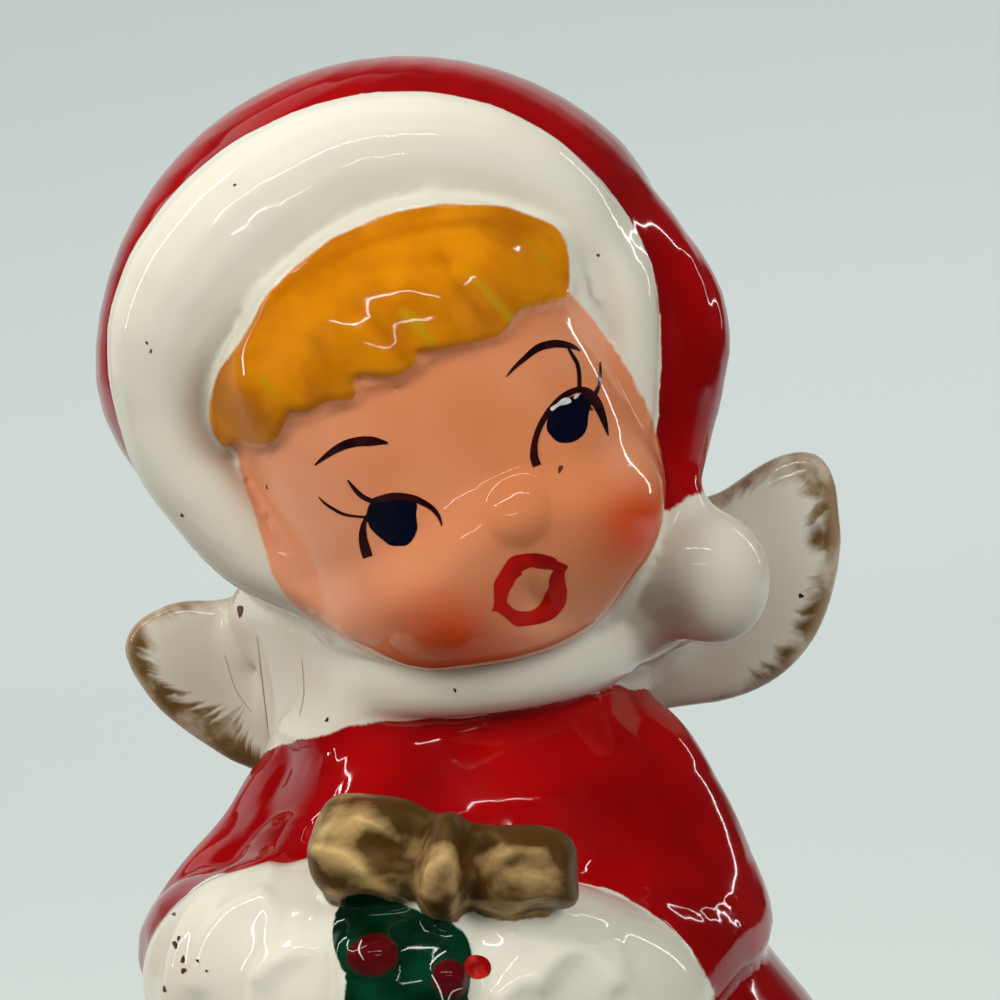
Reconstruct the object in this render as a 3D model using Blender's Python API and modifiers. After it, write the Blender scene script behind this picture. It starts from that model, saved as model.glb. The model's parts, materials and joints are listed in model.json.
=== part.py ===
"""Glazed Christmas angel figurine, slip-cast in one hollow piece.

The figure stands upright on +Z with its front towards -Y and the middle of its
foot at the origin.  Soft forms are modelled one by one, fused into one skin,
cut flat at the foot and hollowed out to the wall that a cast body has.
"""
import math

import bpy
import bmesh
from mathutils import Matrix, Vector
from mathutils.bvhtree import BVHTree

MM = 0.001

# Coat: a turned bell, a little flatter from front to back
NECK_HEIGHT = 64.0 * MM
NECK_RADIUS = 8.5 * MM
CHEST_HEIGHT = 54.0 * MM
CHEST_RADIUS = 16.0 * MM
WAIST_HEIGHT = 41.0 * MM
WAIST_RADIUS = 19.5 * MM
HEM_RADIUS = 30.8 * MM
COAT_DEPTH = 0.86
FOLD_DEPTH = 0.45 * MM
FOLD_COUNT = 9
HEM_BAND_RADIUS = 3.1 * MM

# Collar roll round the neck
COLLAR_REACH = 9.1 * MM
COLLAR_ROLL = 3.0 * MM
COLLAR_SIDE = 2.1 * MM
COLLAR_FORWARD = 3.0 * MM
COLLAR_RISE = 0.4 * MM
COLLAR_DIP = 0.9 * MM

# Arms: the left elbow stands further out and further forward
SHOULDER_SPAN = 24.0 * MM
SHOULDER_DROP = 1.0 * MM
SHOULDER_BACK = 0.6 * MM
SHOULDER_RADIUS = 6.1 * MM
SLEEVE_RADIUS = 5.8 * MM
ELBOW_SPAN = 32.0 * MM
ELBOW_HEIGHT = 44.0 * MM
ELBOW_FORWARD = 1.0 * MM
LEFT_ELBOW_OUT = 4.2 * MM
LEFT_ELBOW_FORWARD = 3.6 * MM

# Muff, held before the waist
MUFF_LENGTH = 42.0 * MM
MUFF_HEIGHT = 22.0 * MM
MUFF_THICKNESS = 18.5 * MM
MUFF_SIDE = 3.4 * MM
MUFF_STANDOFF = 2.2 * MM
MUFF_DROP = 0.4 * MM
MUFF_CENTRE = Vector((-MUFF_SIDE, -COAT_DEPTH * WAIST_RADIUS - MUFF_STANDOFF, WAIST_HEIGHT - MUFF_DROP))
MUFF_TILT = math.radians(10.0)
MUFF_BEND = 5.0 * MM
MUFF_RIDGE = 0.022

# Bow and holly on the muff
BOW_WIDTH = 18.4 * MM
BOW_HEIGHT = 8.4 * MM
BOW_THICKNESS = 7.0 * MM
BOW_SIDE = 2.0 * MM
BOW_KNOT_WIDTH = 3.6 * MM
BOW_KNOT_HEIGHT = 6.6 * MM
BOW_LEAN = math.radians(22.0)
LEAF_LENGTH = 13.4 * MM
LEAF_WIDTH = 9.2 * MM
LEAF_RELIEF = 0.9 * MM
LEAF_TURN = math.radians(80.0)
BERRY_RADIUS = 1.6 * MM

# Head: the head axis leans to the viewer's left and the face turns a little
HEAD_SIDE = 1.6 * MM
HEAD_FORWARD = 1.0 * MM
HEAD_RISE = 21.3 * MM
HEAD_CENTRE = Vector((-HEAD_SIDE, -HEAD_FORWARD, NECK_HEIGHT + HEAD_RISE))
HEAD_TURN = math.radians(10.0)
HEAD_LEAN = math.radians(22.0)
HOOD_RADIUS = 23.6 * MM
HOOD_DEPTH = 20.0 * MM
HOOD_BACK = 3.5 * MM
HOOD_TAPER = 0.13
FACE_WIDTH = 29.6 * MM
FACE_HEIGHT = 38.6 * MM
FACE_DEPTH = 18.0 * MM
FACE_DROP = 5.0 * MM
FACE_FORWARD = 2.0 * MM
FACE_SIDE = 0.4 * MM
FACE_SQUARE = 2.35
CHEEK_RELIEF = 1.0 * MM
CHIN_RELIEF = 0.7 * MM
NOSE_RADIUS = 2.4 * MM
NOSE_RELIEF = 0.6 * MM
NOSE_SIDE = 2.3 * MM
MOUTH_DIMPLE = 0.5 * MM

# Fur roll round the hood's opening
TRIM_WIDTH = 34.3 * MM
TRIM_HEIGHT = 33.4 * MM
TRIM_ROLL_TOP = 5.2 * MM
TRIM_ROLL_LOW = 3.3 * MM
TRIM_ROLL_CROWN = 0.8 * MM
TRIM_ROLL_RIGHT = 0.9 * MM
TRIM_DRAW = 1.6 * MM
TRIM_CROWN_TURN = math.radians(105.0)
TRIM_FORWARD = 8.6 * MM
TRIM_SIDE = 1.5 * MM
TRIM_DROP = 0.5 * MM

# Fringe of hair
LOCK_COUNT = 6
LOCK_RADIUS = 3.4 * MM
LOCK_RELIEF = 0.7 * MM
HAIR_RELIEF = 0.9 * MM
HAIR_LEFT = 14.0 * MM
HAIR_RIGHT = 11.6 * MM
FRINGE_HEIGHT = 1.6 * MM
FRINGE_TILT = 0.06
FRINGE_EDGE = 0.6 * MM

# Hood tail and pompom
TAIL_RADIUS = 6.0 * MM
POMPOM_RADIUS = 5.1 * MM

# Wings, rooted on the back: outline by shares of the size at every 22.5 degrees from the tip side up
WING_BACK = 6.5 * MM
WING_THICKNESS = 4.2 * MM
LEFT_WING_SIZE = 10.0 * MM
LEFT_WING_CENTRE = Vector((-16.5 * MM, WING_BACK, NECK_HEIGHT - 2.0 * MM))
LEFT_WING_SHAPE = (0.94, 1.14, 0.98, 0.76, 0.75, 0.8, 0.9, 1.2, 1.65, 1.3, 0.95, 0.83, 0.8, 0.75, 0.7, 0.77)
RIGHT_WING_SIZE = 11.0 * MM
RIGHT_WING_CENTRE = Vector((17.0 * MM, WING_BACK, NECK_HEIGHT + 1.5 * MM))
RIGHT_WING_SHAPE = (1.0, 1.17, 1.33, 0.8, 0.69, 0.73, 0.82, 1.1, 1.55, 1.27, 1.0, 0.86, 0.82, 0.8, 0.83, 0.9)

# Casting
WALL = 3.2 * MM
VENT_RADIUS = 4.0 * MM
VENT_BACK = 9.0 * MM
SKIN_STEP = 0.55 * MM
SKIN_TRIANGLES = 10000
HOLLOW_STEP = 1.5 * MM
HOLLOW_TRIANGLES = 1300
ROUND_STEPS = 56
FOOT_DEPTH = 4.0 * MM

# Glazes and paints: colour, roughness and metallic value
GLAZES = {
    "red_glaze": ((0.42, 0.0, 0.004, 1.0), 0.08, 0.0),
    "white_glaze": ((0.72, 0.70, 0.62, 1.0), 0.08, 0.0),
    "flesh_paint": ((0.70, 0.33, 0.19, 1.0), 0.3, 0.0),
    "hair_paint": ((0.72, 0.27, 0.005, 1.0), 0.15, 0.0),
    "gold_lustre": ((0.26, 0.17, 0.06, 1.0), 0.35, 0.8),
    "green_glaze": ((0.0, 0.045, 0.02, 1.0), 0.1, 0.0),
    "berry_glaze": ((0.2, 0.004, 0.01, 1.0), 0.1, 0.0),
    "bare_clay": ((0.66, 0.62, 0.54, 1.0), 0.8, 0.0),
}


def clear_scene():
    for obj in list(bpy.data.objects):
        bpy.data.objects.remove(obj, do_unlink=True)


def head_frame():
    """Frame of the head: origin at its middle, +Z to the crown, -Y to the face."""
    turn = Matrix.Rotation(HEAD_TURN, 4, "Z")
    lean = Matrix.Rotation(-HEAD_LEAN, 4, "Y")
    return Matrix.Translation(HEAD_CENTRE) @ turn @ lean


def muff_frame():
    return Matrix.Translation(MUFF_CENTRE) @ Matrix.Rotation(MUFF_TILT, 4, "Y")


def blend(value, low, high):
    share = min(max((value - low) / (high - low), 0.0), 1.0)
    return share * share * (3.0 - 2.0 * share)


def signed_power(value, power):
    return math.copysign(abs(value) ** power, value)


class Forms:
    """Collects closed solids, each with the glaze that it carries."""

    def __init__(self):
        self.parts = []

    def add(self, mesh, glaze):
        self.parts.append((mesh, glaze))

    def ball(self, frame, centre, radii, glaze, shape=None, square=2.0, fine=1.0):
        """A ball stretched to its radii, squared off above a power of two."""
        steps = int(ROUND_STEPS * fine)
        bpy.ops.mesh.primitive_uv_sphere_add(segments=steps, ring_count=steps // 2, radius=1.0)
        obj = bpy.context.object
        mesh = obj.data
        for vertex in mesh.vertices:
            unit = vertex.co.copy()
            if square != 2.0:
                total = sum(abs(value) ** square for value in unit) ** (1.0 / square)
                unit = unit / max(total, 1e-9)
            point = Vector((unit.x * radii[0], unit.y * radii[1], unit.z * radii[2]))
            if shape is not None:
                point = shape(point, unit)
            vertex.co = frame @ (Vector(centre) + point)
        mesh = mesh.copy()
        bpy.data.objects.remove(obj, do_unlink=True)
        self.add(mesh, glaze)
        return mesh

    def tube(self, frame, knots, glaze, closed=False, round_ends=True):
        """A round bar through its knots, each knot a point and a radius."""
        curve = bpy.data.curves.new("tube", "CURVE")
        curve.dimensions = "3D"
        curve.bevel_depth = 1.0
        curve.bevel_resolution = 6
        curve.resolution_u = 8
        curve.use_fill_caps = not closed
        spline = curve.splines.new("BEZIER")
        spline.bezier_points.add(len(knots) - 1)
        spline.use_cyclic_u = closed
        spline.radius_interpolation = "CARDINAL"
        for knot, (place, radius) in zip(spline.bezier_points, knots):
            knot.co = frame @ Vector(place)
            knot.radius = radius
            knot.handle_left_type = "AUTO"
            knot.handle_right_type = "AUTO"
        obj = bpy.data.objects.new("tube", curve)
        bpy.context.scene.collection.objects.link(obj)
        self.add(solid_mesh(obj), glaze)
        bpy.data.objects.remove(obj, do_unlink=True)
        if round_ends and not closed:
            for place, radius in (knots[0], knots[-1]):
                self.ball(frame, place, (radius, radius, radius), glaze)

    def turned(self, profile, glaze, shape=None):
        """A profile of radius and height pairs, top to bottom, turned about +Z."""
        mesh = bpy.data.meshes.new("turned")
        points = [(radius, 0.0, height) for radius, height in profile]
        edges = [(index, index + 1) for index in range(len(points) - 1)]
        mesh.from_pydata(points, edges, [])
        obj = bpy.data.objects.new("turned", mesh)
        bpy.context.scene.collection.objects.link(obj)
        screw = obj.modifiers.new("turn", "SCREW")
        screw.steps = ROUND_STEPS
        screw.render_steps = ROUND_STEPS
        screw.use_merge_vertices = True
        screw.merge_threshold = 0.00001
        mesh = solid_mesh(obj)
        bpy.data.objects.remove(obj, do_unlink=True)
        if shape is not None:
            for vertex in mesh.vertices:
                vertex.co = shape(vertex.co)
        self.add(mesh, glaze)

    def petal(self, frame, outline, thickness, glaze, surface=None, edge=0.45):
        """A flat lobe with an outline radius by angle and a rounded edge."""
        bpy.ops.mesh.primitive_uv_sphere_add(segments=ROUND_STEPS * 2, ring_count=24, radius=1.0)
        obj = bpy.context.object
        mesh = obj.data
        for vertex in mesh.vertices:
            unit = vertex.co.copy()
            angle = math.atan2(unit.y, unit.x)
            flat = math.hypot(unit.x, unit.y)
            reach = outline(angle) * flat ** 0.8
            across = reach * math.cos(angle)
            along = reach * math.sin(angle)
            out = 0.5 * thickness * signed_power(unit.z, edge)
            base = surface(across, along) if surface is not None else 0.0
            vertex.co = frame @ Vector((across, base - out, along))
        mesh = mesh.copy()
        bpy.data.objects.remove(obj, do_unlink=True)
        self.add(mesh, glaze)


def solid_mesh(obj):
    """The evaluated mesh of an object, in world space, with its caps welded."""
    graph = bpy.context.evaluated_depsgraph_get()
    graph.update()
    mesh = bpy.data.meshes.new_from_object(obj.evaluated_get(graph))
    mesh.transform(obj.matrix_world)
    work = bmesh.new()
    work.from_mesh(mesh)
    bmesh.ops.remove_doubles(work, verts=work.verts, dist=0.000002)
    bmesh.ops.recalc_face_normals(work, faces=work.faces)
    work.to_mesh(mesh)
    work.free()
    return mesh


def spaced_outline(radii):
    """A smooth closed outline through radii at equal angles from +X to +Z."""
    count = len(radii)

    def outline(angle):
        place = (angle / (2.0 * math.pi) * count) % count
        index = int(place)
        share = place - index
        before = radii[(index - 1) % count]
        start = radii[index % count]
        end = radii[(index + 1) % count]
        after = radii[(index + 2) % count]
        slope = 2.0 * start + (end - before) * share
        curve = (2.0 * before - 5.0 * start + 4.0 * end - after) * share ** 2
        twist = (3.0 * start - before - 3.0 * end + after) * share ** 3
        return 0.5 * (slope + curve + twist)

    return outline


def coat_profile(inset=0.0):
    """Radius and height pairs of the coat from the neck down to the foot."""
    rise = WAIST_HEIGHT
    spread = HEM_RADIUS - WAIST_RADIUS
    upper = [
        (NECK_RADIUS, NECK_HEIGHT),
        (0.55 * NECK_RADIUS + 0.45 * CHEST_RADIUS, 0.6 * NECK_HEIGHT + 0.4 * CHEST_HEIGHT),
        (CHEST_RADIUS, CHEST_HEIGHT),
        (0.51 * (CHEST_RADIUS + WAIST_RADIUS), 0.5 * (CHEST_HEIGHT + WAIST_HEIGHT)),
        (WAIST_RADIUS, WAIST_HEIGHT),
    ]
    lower = []
    for share, drop in ((0.34, 0.14), (0.57, 0.25), (0.76, 0.40), (0.90, 0.58), (0.98, 0.78), (1.0, 1.0)):
        lower.append((WAIST_RADIUS + spread * share, rise * (1.0 - drop)))
    return [(radius - inset, height) for radius, height in upper + lower]


def coat_fold(point):
    """Flattens the coat from front to back and lays soft folds in its skirt."""
    angle = math.atan2(point.y, point.x)
    depth = FOLD_DEPTH * (1.0 - blend(point.z, 0.2 * WAIST_HEIGHT, WAIST_HEIGHT))
    radius = math.hypot(point.x, point.y) + depth * math.cos(FOLD_COUNT * angle)
    return Vector((radius * math.cos(angle), COAT_DEPTH * radius * math.sin(angle), point.z))


def add_coat(forms):
    profile = coat_profile()
    closed = [(0.0, NECK_HEIGHT)] + profile + [(HEM_RADIUS, -FOOT_DEPTH), (0.0, -FOOT_DEPTH)]
    forms.turned(closed, "red_glaze", coat_fold)
    ring = []
    for index in range(24):
        angle = 2.0 * math.pi * index / 24
        reach = HEM_RADIUS - 0.35 * HEM_BAND_RADIUS
        place = (reach * math.cos(angle), COAT_DEPTH * reach * math.sin(angle), 1.25 * HEM_BAND_RADIUS)
        ring.append((place, HEM_BAND_RADIUS))
    forms.tube(Matrix.Identity(4), ring, "white_glaze", closed=True)


def add_collar(forms):
    place = Vector((COLLAR_SIDE, -COLLAR_FORWARD, NECK_HEIGHT + COLLAR_RISE))
    frame = Matrix.Translation(place)
    ring = []
    for index in range(20):
        angle = 2.0 * math.pi * index / 20
        front = 0.5 - 0.5 * math.sin(angle)
        place = (
            COLLAR_REACH * math.cos(angle),
            0.92 * COLLAR_REACH * math.sin(angle),
            -COLLAR_DIP * front,
        )
        ring.append((place, COLLAR_ROLL * (0.9 + 0.1 * front)))
    forms.tube(frame, ring, "white_glaze", closed=True)
    forms.ball(frame, (0.0, 0.0, 0.0), (COLLAR_REACH, 0.92 * COLLAR_REACH, COLLAR_ROLL), "white_glaze")


def add_neck(forms):
    """The neck inside the collar, the nape and the webs that join the wings to it."""
    body = Matrix.Identity(4)
    radius = NECK_RADIUS + 0.6 * WALL
    forms.tube(body, [(Vector((0.0, 0.0, CHEST_HEIGHT)), radius), (HEAD_CENTRE, radius)], "white_glaze")

    def place(across, back, up):
        return Vector((across * NECK_RADIUS, back * NECK_RADIUS, NECK_HEIGHT + up * NECK_RADIUS))

    nape = (1.65 * NECK_RADIUS, 0.5 * NECK_RADIUS + 0.7 * WING_BACK, 0.85 * NECK_RADIUS)
    forms.ball(body, place(0.0, 0.4, -0.25), nape, "white_glaze")
    webs = (
        ((-0.70, -0.70, -0.12, 0.39), (-1.12, -0.35, -0.26, 0.40), (-1.59, 0.29, -0.35, 0.39)),
        ((-1.00, -0.47, -0.06, 0.38), (-1.47, -0.06, 0.18, 0.38), (-1.82, 0.41, 0.41, 0.35)),
        ((1.00, 0.00, 0.00, 0.40), (1.50, 0.45, 0.10, 0.42), (1.90, 0.75, 0.30, 0.36)),
    )
    for web in webs:
        knots = [(place(across, back, up), thick * NECK_RADIUS) for across, back, up, thick in web]
        forms.tube(body, knots, "white_glaze")


def add_arms(forms):
    """Sleeves from the shoulders round the elbows into the muff's ends."""
    body = Matrix.Identity(4)
    muff = muff_frame()
    for side in (-1.0, 1.0):
        shoulder = Vector((side * 0.5 * SHOULDER_SPAN, SHOULDER_BACK, CHEST_HEIGHT - SHOULDER_DROP))
        elbow = Vector((side * 0.5 * ELBOW_SPAN, -ELBOW_FORWARD, ELBOW_HEIGHT))
        swell = 1.08
        cuff_swell = 0.88
        if side < 0.0:
            elbow = elbow - Vector((LEFT_ELBOW_OUT, LEFT_ELBOW_FORWARD, 0.0))
            swell = 0.98
            cuff_swell = 0.90
        cuff = muff @ Vector((side * 0.35 * MUFF_LENGTH, 0.2 * MUFF_THICKNESS, 0.0))
        start = shoulder - Vector((side * 0.65 * SHOULDER_RADIUS, 0.0, -0.3 * SHOULDER_RADIUS))
        middle = shoulder.lerp(elbow, 0.5) + Vector((side * 0.1 * SLEEVE_RADIUS, 0.0, 0.0))
        forearm = elbow.lerp(cuff, 0.5) + Vector((0.0, 0.0, 0.2 * SLEEVE_RADIUS))
        knots = [
            (start, SHOULDER_RADIUS),
            (shoulder, SHOULDER_RADIUS),
            (middle, SLEEVE_RADIUS),
            (elbow, SLEEVE_RADIUS),
            (forearm, swell * SLEEVE_RADIUS),
            (cuff, cuff_swell * SLEEVE_RADIUS),
        ]
        forms.tube(body, knots, "red_glaze")
        crook = shoulder.lerp(cuff, 0.5) - Vector((side * 0.5 * SLEEVE_RADIUS, 0.2 * SLEEVE_RADIUS, 0.0))
        reach = 0.95 * SLEEVE_RADIUS
        forms.ball(body, crook, (reach, reach, reach), "red_glaze")


def muff_radius(share):
    """Share of the muff's girth at a share of its half length: the right end is squarer."""
    power = 2.05 if share < 0.0 else 2.5
    return (1.0 - min(abs(share), 1.0) ** power) ** 0.5


def muff_front(across, along):
    """Depth of the muff's front face behind its middle plane, in its own frame."""
    share = across / (0.5 * MUFF_LENGTH)
    scale = muff_radius(share)
    height = min(abs(along) / (0.5 * MUFF_HEIGHT * scale), 0.98)
    round_off = math.sqrt(1.0 - height * height)
    return MUFF_BEND * share * share - 0.5 * MUFF_THICKNESS * scale * round_off


def add_muff(forms):
    """A turned barrel, bent round the waist, with the soft ridges of fur."""
    frame = muff_frame()

    def barrel(point):
        share = point.z
        angle = math.atan2(point.x, -point.y)
        grow = 1.0 + MUFF_RIDGE * math.cos(14.0 * share + 1.3 * math.sin(2.0 * angle))
        return frame @ Vector((
            0.5 * MUFF_LENGTH * share,
            0.5 * MUFF_THICKNESS * point.y * grow + MUFF_BEND * share * share,
            0.5 * MUFF_HEIGHT * point.x * grow,
        ))

    count = 2 * ROUND_STEPS
    shares = [math.cos(math.pi * index / count) for index in range(count + 1)]
    forms.turned([(muff_radius(share), share) for share in shares], "white_glaze", barrel)


def add_bow(forms):
    """Two puffed loops, creased beside the knot that pinches them."""
    seat = Vector((BOW_SIDE, -0.27 * MUFF_THICKNESS, 0.55 * MUFF_HEIGHT))
    frame = muff_frame() @ Matrix.Translation(seat) @ Matrix.Rotation(-BOW_LEAN, 4, "X")
    loop = 0.25 * BOW_WIDTH

    def lobe(side):
        def shape(point, unit):
            outward = 0.5 + 0.5 * side * unit.x
            point.z = point.z * (0.74 + 0.32 * outward)
            crease = math.exp(-(((unit.x + side * 0.5) / 0.22) ** 2) - ((unit.z - 0.15) / 0.5) ** 2)
            if unit.y < 0.0:
                point.y = point.y + 0.22 * BOW_THICKNESS * crease
            return point
        return shape

    for side in (-1.0, 1.0):
        grow = 0.96 - 0.08 * side
        centre = (side * loop * 1.08, 0.0, -side * 0.05 * BOW_HEIGHT)
        radii = (loop * 1.1, 0.5 * BOW_THICKNESS, 0.5 * BOW_HEIGHT * grow)
        forms.ball(frame, centre, radii, "gold_lustre", shape=lobe(side), square=2.5)
    knot = (0.5 * BOW_KNOT_WIDTH, 0.56 * BOW_THICKNESS, 0.5 * BOW_KNOT_HEIGHT)
    place = (0.0, -0.14 * BOW_THICKNESS, -0.14 * BOW_HEIGHT)
    forms.ball(frame, place, knot, "gold_lustre", square=2.4)


def add_holly(forms):
    """One scalloped leaf that lies on the muff, with two berries."""
    middle = Vector((-0.03 * LEAF_WIDTH, 0.0, 0.23 * MUFF_HEIGHT))

    def outline(angle):
        tip = angle - LEAF_TURN
        oval = 0.25 * LEAF_LENGTH * LEAF_WIDTH / math.hypot(
            0.5 * LEAF_WIDTH * math.cos(tip), 0.5 * LEAF_LENGTH * math.sin(tip))
        return oval * (1.0 + 0.06 * math.cos(8.0 * tip))

    def surface(across, along):
        height = min(along + middle.z, 0.47 * MUFF_HEIGHT)
        return muff_front(across + middle.x, height) + 0.3 * LEAF_RELIEF

    frame = muff_frame() @ Matrix.Translation(middle)
    forms.petal(frame, outline, 2.6 * LEAF_RELIEF, "green_glaze", surface=surface)
    for out, up, size in ((-0.22, 0.13, 1.0), (0.45, 0.06, 0.9)):
        across = out * LEAF_WIDTH
        along = up * LEAF_LENGTH
        seat = Vector((across, muff_front(across + middle.x, along + middle.z), along))
        radius = BERRY_RADIUS * size
        forms.ball(frame, seat, (radius, radius, radius), "berry_glaze")


def face_middle():
    return Vector((-FACE_SIDE, -FACE_FORWARD, -FACE_DROP))


def add_head(forms):
    frame = head_frame()
    half_width = 0.5 * FACE_WIDTH
    half_height = 0.5 * FACE_HEIGHT
    face = face_middle()

    def hood(point, unit):
        angle = math.atan2(unit.z, unit.x)
        start = 0.2 * math.cos(angle) - 0.3
        draw = 1.0 - HOOD_TAPER * blend(-math.sin(angle), start, start + 0.7) * math.hypot(unit.x, unit.z)
        front = max(point.y, -TRIM_FORWARD - HOOD_BACK)
        return Vector((point.x * draw, front, point.z * draw))

    forms.ball(frame, (0.0, HOOD_BACK, 0.0), (HOOD_RADIUS, HOOD_DEPTH, HOOD_RADIUS), "red_glaze", shape=hood)

    def feature(unit, across, up, reach):
        return math.exp(-((unit.x - across) ** 2 + (unit.z - up) ** 2) / (reach * reach))

    def soften(point, unit):
        front = blend(-unit.y, 0.0, 0.6)
        relief = CHEEK_RELIEF * feature(unit, -0.50, -0.46, 0.30)
        relief = relief + CHEEK_RELIEF * feature(unit, 0.50, -0.46, 0.30)
        relief = relief + CHIN_RELIEF * feature(unit, 0.03, -0.86, 0.16)
        relief = relief - MOUTH_DIMPLE * feature(unit, 0.03, -0.66, 0.12)
        relief = relief - 0.5 * CHEEK_RELIEF * feature(unit, 0.03, 0.05, 0.42)
        point.y = point.y - relief * front
        return point

    radii = (half_width, FACE_DEPTH, half_height)
    forms.ball(frame, face, radii, "flesh_paint", shape=soften, square=FACE_SQUARE, fine=1.6)
    nose = face + Vector((NOSE_SIDE, NOSE_RADIUS - NOSE_RELIEF - FACE_DEPTH, -0.30 * half_height))
    forms.ball(frame, nose, (NOSE_RADIUS, NOSE_RADIUS, 0.9 * NOSE_RADIUS), "flesh_paint")


def add_trim(forms):
    """The fur roll, thick over the brow and thin beside the cheeks, and the lining behind it."""
    frame = head_frame()
    ring = []
    lining = []
    for index in range(28):
        angle = 2.0 * math.pi * index / 28
        side = math.cos(angle)
        rise = math.sin(angle)
        upper = blend(rise, 0.05 - 0.25 * side, 0.82)
        swell = TRIM_ROLL_CROWN * blend(math.cos(angle - TRIM_CROWN_TURN), 0.85, 1.0)
        swell = swell - TRIM_ROLL_RIGHT * blend(side, 0.3, 1.0)
        reach = swell + TRIM_DRAW * blend(-rise, 0.2 * side - 0.2, 0.12 * side + 0.28)
        across = (0.5 * TRIM_WIDTH - reach) * side
        along = (0.5 * TRIM_HEIGHT - reach) * rise
        place = Vector((across - TRIM_SIDE, -TRIM_FORWARD, along - TRIM_DROP))
        ring.append((place, TRIM_ROLL_LOW + (TRIM_ROLL_TOP - TRIM_ROLL_LOW) * upper + swell))
        place = Vector((0.93 * across - TRIM_SIDE, -0.45 * TRIM_FORWARD, 0.93 * along - TRIM_DROP))
        lining.append((place, TRIM_ROLL_LOW))
    forms.tube(frame, ring, "white_glaze", closed=True)
    forms.tube(frame, lining, "white_glaze", closed=True)


def face_front(across, height):
    """Depth of the forehead at a place, in the head's own frame."""
    side = abs(across + FACE_SIDE) / (0.5 * FACE_WIDTH)
    rise = abs(height + FACE_DROP) / (0.5 * FACE_HEIGHT)
    share = max(1.0 - side ** FACE_SQUARE - rise ** FACE_SQUARE, 0.02)
    return -FACE_FORWARD - FACE_DEPTH * share ** (1.0 / FACE_SQUARE)


def add_hair(forms):
    """A smooth cap of hair that swells into the soft locks of its fringe."""
    frame = head_frame()

    def cap(point, unit):
        height = point.z - FACE_DROP + FRINGE_TILT * point.x
        grow = blend(height, FRINGE_HEIGHT - FRINGE_EDGE, FRINGE_HEIGHT + FRINGE_EDGE)
        return point * (0.88 + 0.12 * grow)

    radii = (0.5 * FACE_WIDTH + HAIR_RELIEF, FACE_DEPTH + HAIR_RELIEF, 0.5 * FACE_HEIGHT + HAIR_RELIEF)
    forms.ball(frame, face_middle(), radii, "hair_paint", shape=cap, square=FACE_SQUARE, fine=1.6)
    top = FRINGE_HEIGHT + 2.2 * LOCK_RADIUS
    for index in range(LOCK_COUNT):
        foot_x = -HAIR_LEFT + (HAIR_LEFT + HAIR_RIGHT) * index / (LOCK_COUNT - 1)
        root_x = 0.8 * foot_x + 0.3 * LOCK_RADIUS
        foot_z = FRINGE_HEIGHT - FRINGE_TILT * foot_x + (0.8 + 0.12 * math.cos(2.4 * index)) * LOCK_RADIUS
        knots = []
        for step in range(4):
            down = step / 3.0
            across = root_x + (foot_x - root_x) * down
            height = top + (foot_z - top) * down
            radius = LOCK_RADIUS * (0.8 + 0.2 * down)
            relief = HAIR_RELIEF + LOCK_RELIEF * (1.5 * down - 0.5 * down * down - 0.35)
            depth = face_front(across, height) - relief + radius
            knots.append(((across, depth, height), radius))
        forms.tube(frame, knots, "hair_paint")


def add_tail(forms):
    """The hood's soft tail falls beside the face and ends in a pompom."""
    frame = head_frame()
    side = HOOD_RADIUS - TAIL_RADIUS

    def run(path):
        knots = []
        for out, back, up, thick in path:
            place = Vector((side + out * HOOD_RADIUS, back * HOOD_RADIUS, up * HOOD_RADIUS))
            knots.append((place, thick * TAIL_RADIUS))
        forms.tube(frame, knots, "red_glaze")
        return knots[-1][0]

    end = run((
        (-0.148, 0.127, 0.403, 0.80),
        (-0.008, 0.034, 0.102, 0.93),
        (0.013, -0.025, -0.081, 1.00),
        (-0.008, -0.068, -0.229, 1.02),
        (-0.072, -0.119, -0.356, 0.93),
        (-0.148, -0.161, -0.483, 0.80),
        (-0.225, -0.212, -0.619, 0.66),
        (-0.255, -0.254, -0.700, 0.58),
    ))
    run((
        (0.127, -0.068, 0.195, 0.30),
        (0.153, -0.144, 0.008, 0.36),
        (0.114, -0.203, -0.203, 0.36),
        (0.008, -0.254, -0.432, 0.26),
    ))
    radius = POMPOM_RADIUS
    pompom = end + Vector((0.04, -0.27, -1.28)) * radius
    forms.ball(frame, pompom, (0.97 * radius, 0.95 * radius, 1.06 * radius), "white_glaze")
    cuff = 0.68 * radius
    forms.ball(frame, end + Vector((0.0, -0.1, -0.5)) * radius, (cuff, cuff, cuff), "white_glaze")
    seat = pompom + Vector((-0.70, 0.86, 0.16)) * radius
    forms.ball(frame, seat, (1.3 * radius, 1.1 * radius, 1.1 * radius), "white_glaze")


def add_wings(forms):
    """Two rounded wings that rise from the middle of the back."""
    wings = (
        (-1.0, LEFT_WING_CENTRE, LEFT_WING_SIZE, LEFT_WING_SHAPE),
        (1.0, RIGHT_WING_CENTRE, RIGHT_WING_SIZE, RIGHT_WING_SHAPE),
    )
    for side, centre, size, shape in wings:
        outline = spaced_outline([size * share for share in shape])
        frame = Matrix.Translation(centre) @ Matrix.Scale(side, 4, (1.0, 0.0, 0.0))

        def surface(across, along, root=size * shape[8]):
            return 0.7 * WING_THICKNESS * (1.0 - blend(across + root, 0.0, 1.3 * root)) - 0.02 * along

        forms.petal(frame, outline, WING_THICKNESS, "white_glaze", surface=surface, edge=0.55)


def joined_object(name, meshes):
    """One object from many closed meshes, all facing outwards."""
    work = bmesh.new()
    for mesh in meshes:
        work.from_mesh(mesh)
    bmesh.ops.recalc_face_normals(work, faces=work.faces)
    mesh = bpy.data.meshes.new(name)
    work.to_mesh(mesh)
    work.free()
    return bpy.data.objects.new(name, mesh)


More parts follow.
